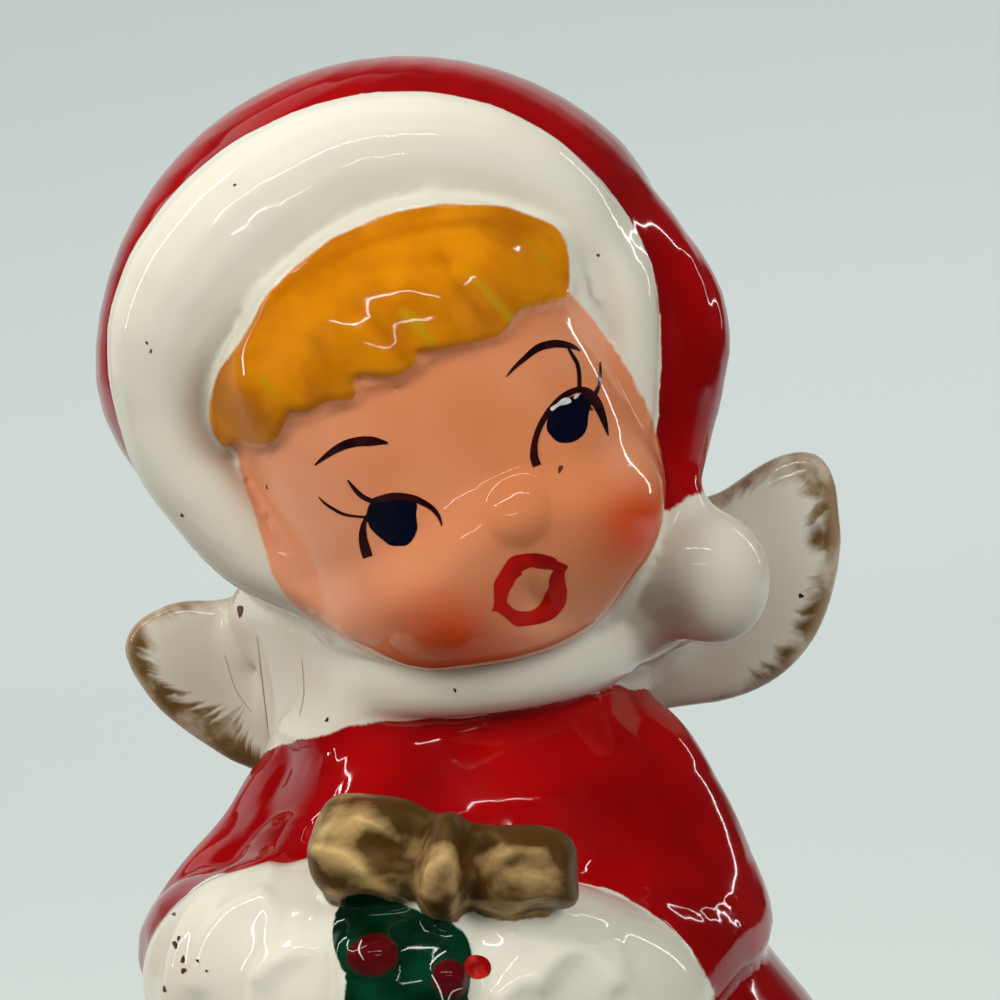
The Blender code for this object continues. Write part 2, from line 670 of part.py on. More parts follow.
def fused_mesh(name, meshes, step, smooth, triangles):
    """Fuses closed meshes into one smooth skin with a limit on its triangles."""
    obj = joined_object(name, meshes)
    bpy.context.scene.collection.objects.link(obj)
    remesh = obj.modifiers.new("fuse", "REMESH")
    remesh.mode = "VOXEL"
    remesh.voxel_size = step
    soften = obj.modifiers.new("soften", "SMOOTH")
    soften.factor = 0.5
    soften.iterations = smooth
    corners = obj.modifiers.new("corners", "TRIANGULATE")
    corners.quad_method = "SHORTEST_DIAGONAL"
    graph = bpy.context.evaluated_depsgraph_get()
    count = len(obj.evaluated_get(graph).data.polygons)
    reduce = obj.modifiers.new("reduce", "DECIMATE")
    reduce.ratio = min(1.0, triangles / count)
    mesh = solid_mesh(obj)
    bpy.data.objects.remove(obj, do_unlink=True)
    return mesh


def hollow_forms():
    """The cast body's inside: the main forms drawn in by the wall."""
    hollow = Forms()
    inner = coat_profile(WALL / COAT_DEPTH)
    inner = [(radius, height) for radius, height in inner if height > WALL]
    inner = inner + [(HEM_RADIUS - WALL / COAT_DEPTH, WALL)]
    closed = [(0.0, NECK_HEIGHT)] + inner + [(0.0, WALL)]
    hollow.turned(closed, "bare_clay", lambda point: Vector((point.x, COAT_DEPTH * point.y, point.z)))
    frame = head_frame()
    hood = (HOOD_RADIUS - WALL, HOOD_DEPTH - WALL, HOOD_RADIUS - WALL)
    hollow.ball(frame, (0.0, HOOD_BACK, 0.0), hood, "bare_clay")
    face = (0.5 * FACE_WIDTH - WALL, FACE_DEPTH - WALL, 0.5 * FACE_HEIGHT - WALL)
    hollow.ball(frame, face_middle(), face, "bare_clay")
    neck = NECK_RADIUS - 0.5 * WALL
    base = Vector((0.0, 0.0, CHEST_HEIGHT))
    hollow.tube(Matrix.Identity(4), [(base, neck), (HEAD_CENTRE, neck)], "bare_clay")
    muff = (0.5 * MUFF_LENGTH - 2.2 * WALL, 0.5 * MUFF_THICKNESS - WALL, 0.5 * MUFF_HEIGHT - WALL)
    hollow.ball(muff_frame(), (0.0, 0.12 * MUFF_BEND, 0.0), muff, "bare_clay", square=2.6)
    return hollow


def helper(name, mesh, collection):
    obj = bpy.data.objects.new(name, mesh)
    collection.objects.link(obj)
    obj.hide_render = True
    obj.display_type = "WIRE"
    return obj


def foot_cutter(collection):
    """A block below the foot, so the figure rests on one flat face."""
    work = bmesh.new()
    bmesh.ops.create_cube(work, size=1.0)
    side = 3.0 * HEM_RADIUS
    depth = 4.0 * FOOT_DEPTH
    bmesh.ops.scale(work, vec=(side, side, depth), verts=work.verts)
    bmesh.ops.translate(work, vec=(0.0, 0.0, -0.5 * depth), verts=work.verts)
    mesh = bpy.data.meshes.new("foot_cutter")
    work.to_mesh(mesh)
    work.free()
    return helper("foot_cutter", mesh, collection)


def vent_cutter(collection):
    """The round hole in the foot that lets the hollow breathe in the kiln."""
    work = bmesh.new()
    bmesh.ops.create_cone(
        work, cap_ends=True, segments=24, radius1=VENT_RADIUS, radius2=VENT_RADIUS, depth=4.0 * WALL)
    bmesh.ops.translate(work, vec=(0.0, VENT_BACK, 0.0), verts=work.verts)
    mesh = bpy.data.meshes.new("vent_cutter")
    work.to_mesh(mesh)
    work.free()
    return helper("vent_cutter", mesh, collection)


def cut(obj, cutter, name):
    step = obj.modifiers.new(name, "BOOLEAN")
    step.operation = "DIFFERENCE"
    step.solver = "EXACT"
    step.object = cutter


def glaze_material(name):
    colour, roughness, metallic = GLAZES[name]
    material = bpy.data.materials.new(name)
    material.diffuse_color = colour
    material.use_nodes = True
    shader = material.node_tree.nodes["Principled BSDF"]
    shader.inputs["Base Color"].default_value = colour
    shader.inputs["Roughness"].default_value = roughness
    shader.inputs["Metallic"].default_value = metallic
    return material


def paint_skin(mesh, forms):
    """Each face takes the glaze of the form that it lies on."""
    names = list(GLAZES)
    for name in names:
        mesh.materials.append(glaze_material(name))
    trees = []
    for part, glaze in forms.parts:
        work = bmesh.new()
        work.from_mesh(part)
        trees.append((BVHTree.FromBMesh(work), names.index(glaze)))
        work.free()
    for face in mesh.polygons:
        best = 1.0
        for tree, index in trees:
            place, _, _, distance = tree.find_nearest(face.center)
            if place is not None and distance < best:
                best = distance
                face.material_index = index
        face.use_smooth = True


def build_angel():
    clear_scene()
    home = bpy.data.collections.new("angel")
    tools = bpy.data.collections.new("angel_cutters")
    bpy.context.scene.collection.children.link(home)
    bpy.context.scene.collection.children.link(tools)

    forms = Forms()
    add_coat(forms)
    add_collar(forms)
    add_neck(forms)
    add_arms(forms)
    add_muff(forms)
    add_bow(forms)
    add_holly(forms)
    add_head(forms)
    add_trim(forms)
    add_hair(forms)
    add_tail(forms)
    add_wings(forms)

    skin = fused_mesh("angel_figurine", [part[0] for part in forms.parts], SKIN_STEP, 5, SKIN_TRIANGLES)
    paint_skin(skin, forms)
    figure = bpy.data.objects.new("angel_figurine", skin)
    home.objects.link(figure)

    hollow = hollow_forms()
    inside = fused_mesh("hollow_cutter", [part[0] for part in hollow.parts], HOLLOW_STEP, 3, HOLLOW_TRIANGLES)
    cut(figure, foot_cutter(tools), "flat_foot")
    cut(figure, helper("hollow_cutter", inside, tools), "hollow")
    cut(figure, vent_cutter(tools), "vent")


build_angel()
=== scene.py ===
import json
import math

import bpy
import bmesh
import numpy as np
from mathutils import Matrix, Vector
from mathutils.bvhtree import BVHTree
from mathutils.geometry import delaunay_2d_cdt

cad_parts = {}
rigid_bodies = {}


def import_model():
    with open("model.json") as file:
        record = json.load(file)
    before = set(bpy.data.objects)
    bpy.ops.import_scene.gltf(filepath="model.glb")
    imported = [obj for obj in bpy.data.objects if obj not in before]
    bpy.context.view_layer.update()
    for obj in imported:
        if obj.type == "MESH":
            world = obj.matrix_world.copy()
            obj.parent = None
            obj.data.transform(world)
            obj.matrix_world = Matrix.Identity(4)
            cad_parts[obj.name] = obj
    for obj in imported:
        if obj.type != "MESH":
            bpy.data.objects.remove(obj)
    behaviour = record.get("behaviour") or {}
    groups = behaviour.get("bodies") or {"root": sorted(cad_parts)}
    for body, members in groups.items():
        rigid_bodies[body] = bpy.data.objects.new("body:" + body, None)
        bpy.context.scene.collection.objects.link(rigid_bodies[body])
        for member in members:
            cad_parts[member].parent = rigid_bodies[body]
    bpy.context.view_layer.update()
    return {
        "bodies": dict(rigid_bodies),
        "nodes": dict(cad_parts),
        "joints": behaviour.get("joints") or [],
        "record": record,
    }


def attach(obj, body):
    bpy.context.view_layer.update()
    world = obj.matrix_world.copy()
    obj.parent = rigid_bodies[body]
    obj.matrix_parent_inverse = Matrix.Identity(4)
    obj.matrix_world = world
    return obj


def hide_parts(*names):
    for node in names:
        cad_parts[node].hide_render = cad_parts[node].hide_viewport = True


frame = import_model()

MM = 0.001
BODY = Matrix.Identity(4)

# Coat: a turned bell, a little flatter from front to back
NECK_HEIGHT = 64.0 * MM
NECK_RADIUS = 8.5 * MM
CHEST_HEIGHT = 54.0 * MM
CHEST_RADIUS = 16.0 * MM
WAIST_HEIGHT = 41.0 * MM
WAIST_RADIUS = 19.5 * MM
HEM_RADIUS = 30.8 * MM
COAT_DEPTH = 0.86
FOLD_DEPTH = 0.45 * MM
FOLD_COUNT = 9
HEM_BAND_RADIUS = 3.1 * MM

# Collar roll round the neck
COLLAR_REACH = 9.1 * MM
COLLAR_ROLL = 3.0 * MM
COLLAR_SIDE = 2.1 * MM
COLLAR_FORWARD = 3.0 * MM
COLLAR_RISE = 0.4 * MM
COLLAR_DIP = 0.9 * MM

# Arms: the left elbow stands further out and further forward
SHOULDER_SPAN = 24.0 * MM
SHOULDER_DROP = 1.0 * MM
SHOULDER_BACK = 0.6 * MM
SHOULDER_RADIUS = 6.1 * MM
SLEEVE_RADIUS = 5.8 * MM
ELBOW_SPAN = 32.0 * MM
ELBOW_HEIGHT = 44.0 * MM
ELBOW_FORWARD = 1.0 * MM
LEFT_ELBOW_OUT = 4.2 * MM
LEFT_ELBOW_FORWARD = 3.6 * MM

# Muff, held before the waist
MUFF_LENGTH = 42.0 * MM
MUFF_HEIGHT = 22.0 * MM
MUFF_THICKNESS = 18.5 * MM
MUFF_SIDE = 3.4 * MM
MUFF_STANDOFF = 2.2 * MM
MUFF_DROP = 0.4 * MM
MUFF_CENTRE = Vector((-MUFF_SIDE, -COAT_DEPTH * WAIST_RADIUS - MUFF_STANDOFF, WAIST_HEIGHT - MUFF_DROP))
MUFF_TILT = math.radians(10.0)
MUFF_BEND = 5.0 * MM
MUFF_RIDGE = 0.022

# Bow and holly on the muff
BOW_WIDTH = 18.4 * MM
BOW_HEIGHT = 8.4 * MM
BOW_THICKNESS = 7.0 * MM
BOW_SIDE = 2.0 * MM
BOW_KNOT_WIDTH = 3.6 * MM
BOW_KNOT_HEIGHT = 6.6 * MM
BOW_LEAN = math.radians(22.0)
LEAF_LENGTH = 13.4 * MM
LEAF_WIDTH = 9.2 * MM
LEAF_RELIEF = 0.9 * MM
LEAF_TURN = math.radians(80.0)
BERRY_RADIUS = 1.6 * MM

# Head: the head axis leans to the viewer's left and the face turns a little
HEAD_SIDE = 1.6 * MM
HEAD_FORWARD = 1.0 * MM
HEAD_RISE = 21.3 * MM
HEAD_CENTRE = Vector((-HEAD_SIDE, -HEAD_FORWARD, NECK_HEIGHT + HEAD_RISE))
HEAD_TURN = math.radians(10.0)
HEAD_LEAN = math.radians(22.0)
HOOD_RADIUS = 23.6 * MM
HOOD_DEPTH = 20.0 * MM
HOOD_BACK = 3.5 * MM
HOOD_TAPER = 0.13
FACE_WIDTH = 29.6 * MM
FACE_HEIGHT = 38.6 * MM
FACE_DEPTH = 18.0 * MM
FACE_DROP = 5.0 * MM
FACE_FORWARD = 2.0 * MM
FACE_SIDE = 0.4 * MM
FACE_SQUARE = 2.35
CHEEK_RELIEF = 1.0 * MM
CHIN_RELIEF = 0.7 * MM
NOSE_RADIUS = 2.4 * MM
NOSE_RELIEF = 0.6 * MM
NOSE_SIDE = 2.3 * MM
MOUTH_DIMPLE = 0.5 * MM

# Fur roll round the hood's opening
TRIM_WIDTH = 34.3 * MM
TRIM_HEIGHT = 33.4 * MM
TRIM_ROLL_TOP = 5.2 * MM
TRIM_ROLL_LOW = 3.3 * MM
TRIM_ROLL_CROWN = 0.8 * MM
TRIM_ROLL_RIGHT = 0.9 * MM
TRIM_DRAW = 1.6 * MM
TRIM_CROWN_TURN = math.radians(105.0)
TRIM_FORWARD = 8.6 * MM
TRIM_SIDE = 1.5 * MM
TRIM_DROP = 0.5 * MM

# Fringe of hair
LOCK_COUNT = 6
LOCK_RADIUS = 3.4 * MM
LOCK_RELIEF = 0.7 * MM
HAIR_RELIEF = 0.9 * MM
HAIR_LEFT = 14.0 * MM
HAIR_RIGHT = 11.6 * MM
FRINGE_HEIGHT = 1.6 * MM
FRINGE_TILT = 0.06
FRINGE_EDGE = 0.6 * MM

# Hood tail and pompom
TAIL_RADIUS = 6.0 * MM
POMPOM_RADIUS = 5.1 * MM

# Wings, rooted on the back: side, middle, size, then at every 22.5 degrees from the tip side up
# the outline as shares of the size and how far the gold is brushed in, in millimetres
WING_BACK = 6.5 * MM
WING_THICKNESS = 4.2 * MM
WING_HALF = 4.5
WING_ROOT = -2.0
WING_OVERHANG = -1.2
OFF_WING = 9.0
WINGS = (
    (-1.0, Vector((-16.5 * MM, WING_BACK, NECK_HEIGHT - 2.0 * MM)), 10.0 * MM,
     (0.94, 1.14, 0.98, 0.76, 0.75, 0.8, 0.9, 1.2, 1.65, 1.3, 0.95, 0.83, 0.8, 0.75, 0.7, 0.77),
     (3.4, 2.4, 1.4, 0.7, 0.3, 0, 0, 0, 0, 0, 0, 0.5, 2.4, 4, 5, 4.2)),
    (1.0, Vector((17.0 * MM, WING_BACK, NECK_HEIGHT + 1.5 * MM)), 11.0 * MM,
     (1.0, 1.17, 1.33, 0.8, 0.69, 0.73, 0.82, 1.1, 1.55, 1.27, 1.0, 0.86, 0.82, 0.8, 0.83, 0.9),
     (2.2, 2.2, 3, 1.6, 0.3, 0, 0, 0, 0, 0, 0, 0, 0.6, 1.4, 1.8, 2)),
)

# Casting
WALL = 3.2 * MM
VENT_RADIUS = 4.0 * MM
VENT_BACK = 9.0 * MM
VENT_DEPTH = 3.0 * WALL
VENT_STEPS = 32
ROUND_STEPS = 56
FOOT_DEPTH = 4.0 * MM

# The view: its pixels are counted in a picture 1000 columns wide and 1000 rows high
VIEW_DISTANCE = 330.0 * MM
VIEW_WIDTH = 75.0 * MM
VIEW_AZIMUTH = math.radians(7.0)
VIEW_ELEVATION = math.radians(5.0)
VIEW_ROLL = math.radians(6.0)
VIEW_TARGET = Vector((4.0 * MM, 0.0, 75.0 * MM))
SENSOR_WIDTH = 36.0

# Skin of the glazed piece
FINE_STEP = 0.43 * MM
FINE_TRIANGLES = 196000
GLAZE_IOR = 1.5
PAINT_LIFT = 0.035 * MM
FUSE_SMOOTH = 6
GLAZE_WAVE = 0.00004
PAINT_WAVE = 0.00001

# Colours, linear
WHITE_WARM = (0.76, 0.71, 0.56)
WHITE_COOL = (0.77, 0.75, 0.63)
# Painted shade for the white glaze, warm with light reflected from the face
WHITE_PAINTED_SHADE = (0.52, 0.43, 0.33)
RED_DEEP = (0.24, 0.000, 0.001)
RED_BRIGHT = (0.40, 0.001, 0.002)
# The pale flesh tone serves both as random tone and as painted light
FLESH_PALE_AND_LIT = (0.88, 0.37, 0.195)
FLESH_DEEP = (0.66, 0.215, 0.082)
BLUSH = (0.66, 0.058, 0.005)
HAIR_DEEP = (0.50, 0.150, 0.001)
HAIR_BRIGHT = (0.70, 0.240, 0.002)
HAIR_BROWN = (0.40, 0.110, 0.001)
HAIR_OLIVE = (0.52, 0.280, 0.004)
GREEN_DEEP = (0.000, 0.012, 0.004)
GREEN_BRIGHT = (0.001, 0.048, 0.020)
BERRY_DEEP = (0.030, 0.001, 0.001)
BERRY_BRIGHT = (0.150, 0.003, 0.006)
# The bow's gold: the deep tone is also its painted shade, the bright tone also its painted highlight
GOLD_DEEP_AND_SHADE = (0.125, 0.060, 0.012)
GOLD_BRIGHT_AND_HIGHLIGHT = (0.80, 0.53, 0.21)
WING_GOLD_DEEP = (0.150, 0.080, 0.022)
WING_GOLD = (0.33, 0.210, 0.090)
WING_RIM = (0.44, 0.290, 0.170)

# Paints on the glaze, and bare clay: dark and light tone, roughness and how fine the grain is
PAINTS = {
    "bare_foot": ((0.60, 0.56, 0.48), (0.72, 0.68, 0.60), 0.8, 700.0),
    "line_paint": ((0.010, 0.001, 0.002), (0.030, 0.003, 0.004), 0.12, 700.0),
    "iris_paint": ((0.0005, 0.0008, 0.006), (0.001, 0.002, 0.014), 0.10, 700.0),
    "lip_paint": ((0.28, 0.0, 0.001), (0.56, 0.006, 0.002), 0.12, 260.0),
    "bare_chip": ((0.50, 0.47, 0.42), (0.78, 0.76, 0.72), 0.6, 700.0),
    "white_rim": ((0.50, 0.47, 0.42), (0.78, 0.76, 0.72), 0.2, 700.0),
    "red_speck": ((0.030, 0.004, 0.003), (0.120, 0.010, 0.008), 0.35, 700.0),
    "craze_line": ((0.38, 0.31, 0.24), (0.50, 0.43, 0.35), 0.4, 700.0),
    "red_dab": (RED_DEEP, (0.60, 0.020, 0.010), 0.12, 700.0),
}

# Backdrop: a pale sweep whose glow is painted light, darkened by painted shade towards its ends and towards
# the front of its floor
BACKDROP_LOW = (0.330, 0.357, 0.339)
BACKDROP_MIDDLE = (0.428, 0.470, 0.456)
BACKDROP_HIGH = (0.372, 0.417, 0.399)
BACKDROP_PAINTED_GLOW = 1.15
BACKDROP_LEFT = -0.95
BACKDROP_RIGHT = 0.62
BACKDROP_TOP = 0.95
BACKDROP_FADE_LEFT = (-0.45, -0.90)
BACKDROP_FADE_RIGHT = (0.22, 0.55)
BACKDROP_FADE_TOP = (0.45, 0.90)
FLOOR_FRONT = -0.50
FLOOR_FRONT_PAINTED_SHADE = (0.030, 0.033, 0.033)
BACKDROP_BEND_START = 0.5
BACKDROP_BEND = 0.35
BACKDROP_STEPS = 12

# Webs and creases that the glaze has filled: column, row, half width, half height and strength
SOFT_ROUNDS = 140
HAIR_ROUNDS = 40
SOFT_SPOTS = (
    (270, 660, 75, 60, 1.2), (300, 720, 70, 30, 1), (700, 800, 75, 90, 1.2),
    (240, 820, 60, 50, 1), (660, 640, 40, 45, 0.8),
    (520, 512, 36, 32, 0.6), (592, 288, 20, 36, 1.1), (690, 300, 40, 80, 0.6),
    (350, 640, 40, 30, 0.5), (660, 215, 50, 50, 1.2), (700, 860, 80, 60, 1.2),
)

# Where the red glaze creeps out or stops short: column, row, half width, half height and millimetres
RED_SHIFTS = (
    (288, 612, 34, 18, -4), (262, 596, 20, 14, -4), (430, 724, 80, 18, 0.9),
    (264, 752, 24, 16, -1.6), (213, 877, 50, 14, -1.1), (285, 854, 30, 10, -0.8),
)

# Shifts of bow, berries and leaf: column, row, half width, half height, then across and down
NUDGES = (
    (452, 832, 30, 14, 0, -16), (548, 922, 34, 18, -8, -14), (588, 873, 16, 30, -9, 0),
    (363, 792, 30, 14, -6, 4), (312, 842, 14, 25, -6, 0), (348, 955, 14, 50, -9, 0),
)

# The muzzle that cheeks and mouth share, with its rise in millimetres
MUZZLE_RISE = 1.45
MUZZLE_FADE = (-30.0, 34.0)
FACE_FADE = (-4.0, 26.0)
MUZZLE_EDGE = (
    (290, 612), (340, 596), (380, 578), (424, 552), (460, 518), (510, 494), (560, 486), (600, 474),
    (640, 455), (675, 450), (700, 540), (660, 640), (560, 700), (440, 700), (340, 680), (290, 650),
)

# Low relief of the face: column, row, half width, half height and rise in millimetres
FACE_RELIEF = (
    (432, 625, 48, 38, 0.45), (625, 530, 34, 40, 0.4), (530, 590, 13, 18, -0.35),
    (520, 508, 24, 20, -0.1),
)

# Ridges and folds: width in pixels, rise in millimetres, then columns and rows
RIDGES = (
    (14, -0.09, ((300, 345), (326, 370), (350, 392))),
    (14, -0.09, ((365, 305), (392, 328), (414, 356))),
    (15, -0.1, ((445, 258), (472, 290), (500, 326))),
    (13, 0.08, ((335, 325), (360, 345), (382, 368))),
    (14, 0.08, ((415, 290), (440, 312), (462, 338))),
    (14, 0.07, ((505, 250), (528, 272), (545, 296))),
    (11, 0.08, ((262, 372), (276, 390), (290, 410))),
    (10, -0.07, ((285, 360), (300, 382), (316, 402))),
    (9, 0.1, ((222, 400), (240, 345), (290, 290), (360, 243), (440, 222), (510, 224))),
    (13, 0.6, ((170, 1010), (180, 950), (200, 905), (230, 880), (268, 868))),
    (12, 0.5, ((200, 985), (208, 945), (230, 912), (262, 896))),
    (11, 0.3, ((272, 912), (270, 945), (262, 975))),
    (12, 0.5, ((300, 950), (268, 972), (256, 1010))),
    (8, 0.22, ((296, 935), (300, 918), (312, 912))),
    (12, 0.6, ((540, 985), (554, 960), (581, 950), (600, 964), (612, 982))),
    (11, 0.34, ((614, 945), (624, 976), (640, 1010))),
    (9, 0.26, ((512, 921), (540, 928), (566, 918))),
    (12, 0.5, ((500, 1000), (516, 985), (530, 975))),
    (13, 0.36, ((210, 1040), (250, 1080), (310, 1100))),
    (13, 0.36, ((520, 1060), (580, 1040), (630, 1060))),
    (14, -0.5, ((372, 848), (392, 851))),
    (8, -0.35, ((466, 850), (473, 892))),
    (9, -0.28, ((514, 866), (545, 870))),
    (7, 0.22, ((312, 848), (342, 859), (369, 880), (393, 896))),
    (6, 0.15, ((359, 818), (380, 828), (400, 840))),
    (7, 0.2, ((483, 863), (511, 850), (545, 850))),
    (8, 0.25, ((424, 892), (430, 872), (440, 858))),
)
HAIR_RISE = 0.55
HAIR_FADE = (-5.0, 6.0)
HAIR_SOFT_EDGE = (-14.0, -4.0)
HAIR_EDGE = (
    (569, 267), (564, 239), (550, 223), (527, 214), (500, 206), (463, 204), (427, 206), (390, 214),
    (359, 226), (327, 242), (295, 267), (267, 294), (249, 326), (231, 353), (217, 376), (210, 399),
    (210, 422), (217, 440), (226, 447), (238, 441), (254, 444), (272, 442), (283, 428), (291, 412),
    (308, 412), (327, 402), (355, 398), (353, 381), (363, 376), (381, 377), (400, 374), (418, 362),
    (416, 353), (436, 350), (463, 345), (495, 337), (509, 326), (514, 317), (527, 308), (554, 303),
    (567, 296),
)
FLESH_EDGE = (
    (225, 440), (236, 454), (245, 486), (255, 514), (262, 540), (269, 566), (283, 592), (303, 612),
    (326, 628), (344, 640), (364, 652), (385, 661), (410, 668), (432, 671), (456, 670), (480, 668),
    (505, 665), (528, 660), (556, 650), (580, 637), (602, 621), (617, 604), (633, 581), (649, 557),
    (660, 530), (665, 505), (665, 480), (661, 452), (654, 425), (644, 400), (630, 375), (615, 350),
    (600, 328), (584, 308), (568, 292), (540, 260), (450, 230), (330, 280), (250, 360), (222, 410),
)
LEAF_EDGE = (
    (342, 902), (352, 894), (368, 893), (385, 898), (399, 902), (414, 908), (426, 915), (442, 920),
    (459, 926), (467, 937), (473, 950), (471, 980), (469, 1000), (474, 1025), (462, 1045), (452, 1070),
    (425, 1085), (400, 1100), (375, 1088), (352, 1068), (344, 1045), (350, 1022), (344, 1000),
    (348, 984), (342, 967), (335, 951), (332, 935), (334, 918),
)

# Painted light on the face, and painted shade warmed by light reflected from the face on the white glaze:
# column, row, half width, half height and strength
# Painted light that lightens the flesh on the face's left side, its lower part and near its right edge
FLESH_PAINTED_LIGHT_SPOTS = (
    (300, 540, 60, 110, 1), (550, 640, 100, 34, 0.9), (600, 330, 45, 50, 0.5), (640, 460, 30, 50, 0.5),
    (390, 590, 70, 40, 0.35),
)
# Painted shade on the white glaze round the pompom, the wings, the neck and the muff's end
PAINTED_SHADE_SPOTS = (
    (703, 600, 70, 60, 0.3), (280, 650, 60, 55, 0.45), (770, 590, 50, 60, 0.2),
    (200, 690, 40, 60, 0.45), (165, 960, 40, 60, 0.3),
    (200, 560, 40, 60, 0.3), (640, 620, 40, 40, 0.4),
)
# Painted highlights (above nought) and painted shade (below nought) on the bow: width, strength, then
# columns and rows
BOW_PAINTED_LIGHT_AND_SHADE = (
    (8, 0.8, ((312, 848), (342, 859), (369, 880), (393, 896))),
    (14, 0.4, ((318, 830), (345, 836), (356, 824))),
    (6, 0.6, ((359, 818), (380, 828), (400, 840))),
    (8, 0.7, ((483, 863), (511, 850), (545, 850))),
    (8, 0.7, ((424, 892), (430, 870), (440, 858))),
    (5, 0.6, ((452, 850), (455, 870), (452, 886))),
    (13, -0.7, ((390, 806), (440, 822), (480, 836), (520, 836), (560, 850))),
    (9, -0.7, ((468, 855), (474, 892))),
    (12, -0.7, ((372, 846), (392, 850))),
    (12, -0.5, ((566, 850), (574, 880), (566, 904))),
    (8, -0.5, ((308, 815), (306, 850), (318, 885))),
)
WHITE_RIMS = (
    ((432, 975, 1), (440, 990, 1.6), (445, 1010, 1.4)),
    ((430, 965, 1), (437, 957, 1.8), (446, 951, 1)),
    ((447, 1003, 1), (452, 992, 1.4), (462, 988, 0.8)),
    ((362, 940, 1), (359, 950, 1.8), (364, 960, 0.8)),
    ((392, 894, 1.5), (402, 898, 3), (412, 904, 1.5)),
)

# Wear: dark red specks with their size, fine craze lines, and a dab beside a berry
SPECKS = (
    (175, 945, 5), (183, 960, 5), (184, 971, 4.5), (198, 961, 3), (165, 989, 4), (179, 938, 3.5),
    (174, 914, 3), (182, 515, 3), (240, 611, 7), (327, 720, 3.5), (801, 596, 4), (147, 343, 2.5),
    (151, 351, 2.5), (235, 185, 2.5), (598, 255, 2.5), (267, 487, 2.5), (560, 469, 5), (594, 400, 3),
    (591, 409, 3), (596, 409, 2.5), (586, 397, 2.5), (207, 971, 2.5), (455, 690, 3),
)
CRAZES = (
    ((257, 636, 0.6), (262, 680, 0.9), (269, 738, 0.6)),
    ((302, 660, 0.5), (304, 691, 0.8), (300, 715, 0.5)),
    ((225, 655, 0.5), (236, 690, 0.7), (252, 712, 0.5)),
)
BERRY_DAB = ((467, 958), (476, 955), (486, 958), (491, 966), (489, 975), (480, 979), (470, 977), (464, 968))

# Blush on the cheeks: column, row, half width, half height and strength
BLUSH_SPOTS = ((450, 632, 56, 40, 0.92), (642, 527, 40, 40, 1.15), (505, 655, 60, 18, 0.42))

# Tones brushed into the hair: width, strength, then columns and rows; brown is below nought
HAIR_STROKES = (
    (9, 1, ((463, 271), (485, 292), (509, 317))),
    (8, 0.9, ((404, 312), (417, 326), (430, 340))),
    (9, 0.7, ((530, 240), (542, 250), (548, 262))),
    (6, 0.8, ((262, 378), (270, 388), (276, 396))),
    (7, 0.5, ((432, 292), (446, 306), (462, 322))),
    (12, -0.6, ((440, 255), (462, 285), (484, 315))),
    (11, -0.55, ((368, 315), (386, 335), (404, 358))),
    (9, -0.45, ((312, 338), (322, 352), (330, 368))),
    (8, -0.5, ((215, 380), (240, 335), (290, 285), (350, 250), (420, 228), (500, 222), (550, 240))),
)

WING_DABS = ((819, 539, 15, 16, 1), (814, 610, 10, 12, 0.6))

# Light: a pale sky behind, soft boxes and a loop of thin strips overhead
WORLD_COLOUR = (0.95, 0.98, 0.97)
WORLD_BRIGHT_SIDE = (-0.50, 0.866, 0.0)
WORLD_DARK_EDGE = 0.55
WORLD_BRIGHT_EDGE = 0.85
WORLD_DARK = 0.04
WORLD_BRIGHT = 0.85
LAMP_TARGET = (0.0, 0.0, 0.07)
LAMPS = (
    ("box_left", (-0.36, -0.40, 0.34), (0.34, 0.34), 2.45, (1.0, 0.985, 0.96), False),
    ("box_right", (0.42, -0.30, 0.26), (0.30, 0.34), 1.8, (0.98, 0.99, 1.0), False),
    ("box_top", (-0.10, 0.12, 0.44), (0.30, 0.22), 0.95, (1.0, 1.0, 1.0), False),
    ("strip_front", (0.0, -0.24, 0.32), (0.34, 0.005), 0.15, (1.0, 1.0, 1.0), True),
    ("strip_low", (0.05, -0.36, 0.20), (0.16, 0.004), 0.04, (1.0, 1.0, 1.0), True),
    ("strip_left", (-0.27, -0.03, 0.27), (0.005, 0.32), 0.16, (1.0, 1.0, 1.0), True),
    ("strip_right", (0.33, 0.24, 0.23), (0.005, 0.28), 0.09, (1.0, 1.0, 1.0), True),
)

# Painted features, as columns and rows of the view
LEFT_IRIS = (
    (373, 500), (383, 496), (395, 495), (407, 497), (415, 501), (417, 507), (416, 514), (417, 522),
    (417, 530), (413, 539), (407, 545), (399, 546), (390, 545), (382, 539), (375, 533), (370, 527),
    (367, 518), (368, 508),
)
RIGHT_IRIS = (
    (553, 407), (560, 401), (570, 397), (580, 394), (588, 395), (592, 400), (590, 408), (588, 417),
    (587, 427), (583, 435), (575, 441), (567, 443), (558, 442), (552, 437), (547, 430), (547, 422),
    (549, 413),
)
LIPS_OUTER = (
    (511, 557), (521, 554), (535, 553), (547, 555), (555, 558), (558, 561), (565, 564), (568, 567),
    (565, 572), (565, 581), (567, 592), (565, 604), (559, 613), (552, 619), (542, 623), (531, 625),
    (518, 626), (512, 623), (505, 617), (497, 611), (492, 611), (494, 604), (494, 594), (494, 583),
    (499, 574), (505, 564),
)
LIPS_INNER = (
    (521, 572), (526, 569), (532, 567), (537, 568), (546, 569), (553, 570), (551, 574), (549, 581),
    (549, 587), (545, 594), (542, 601), (537, 607), (529, 611), (521, 611), (514, 609), (509, 604),
    (507, 601), (509, 592), (513, 585), (516, 579), (522, 574),
)
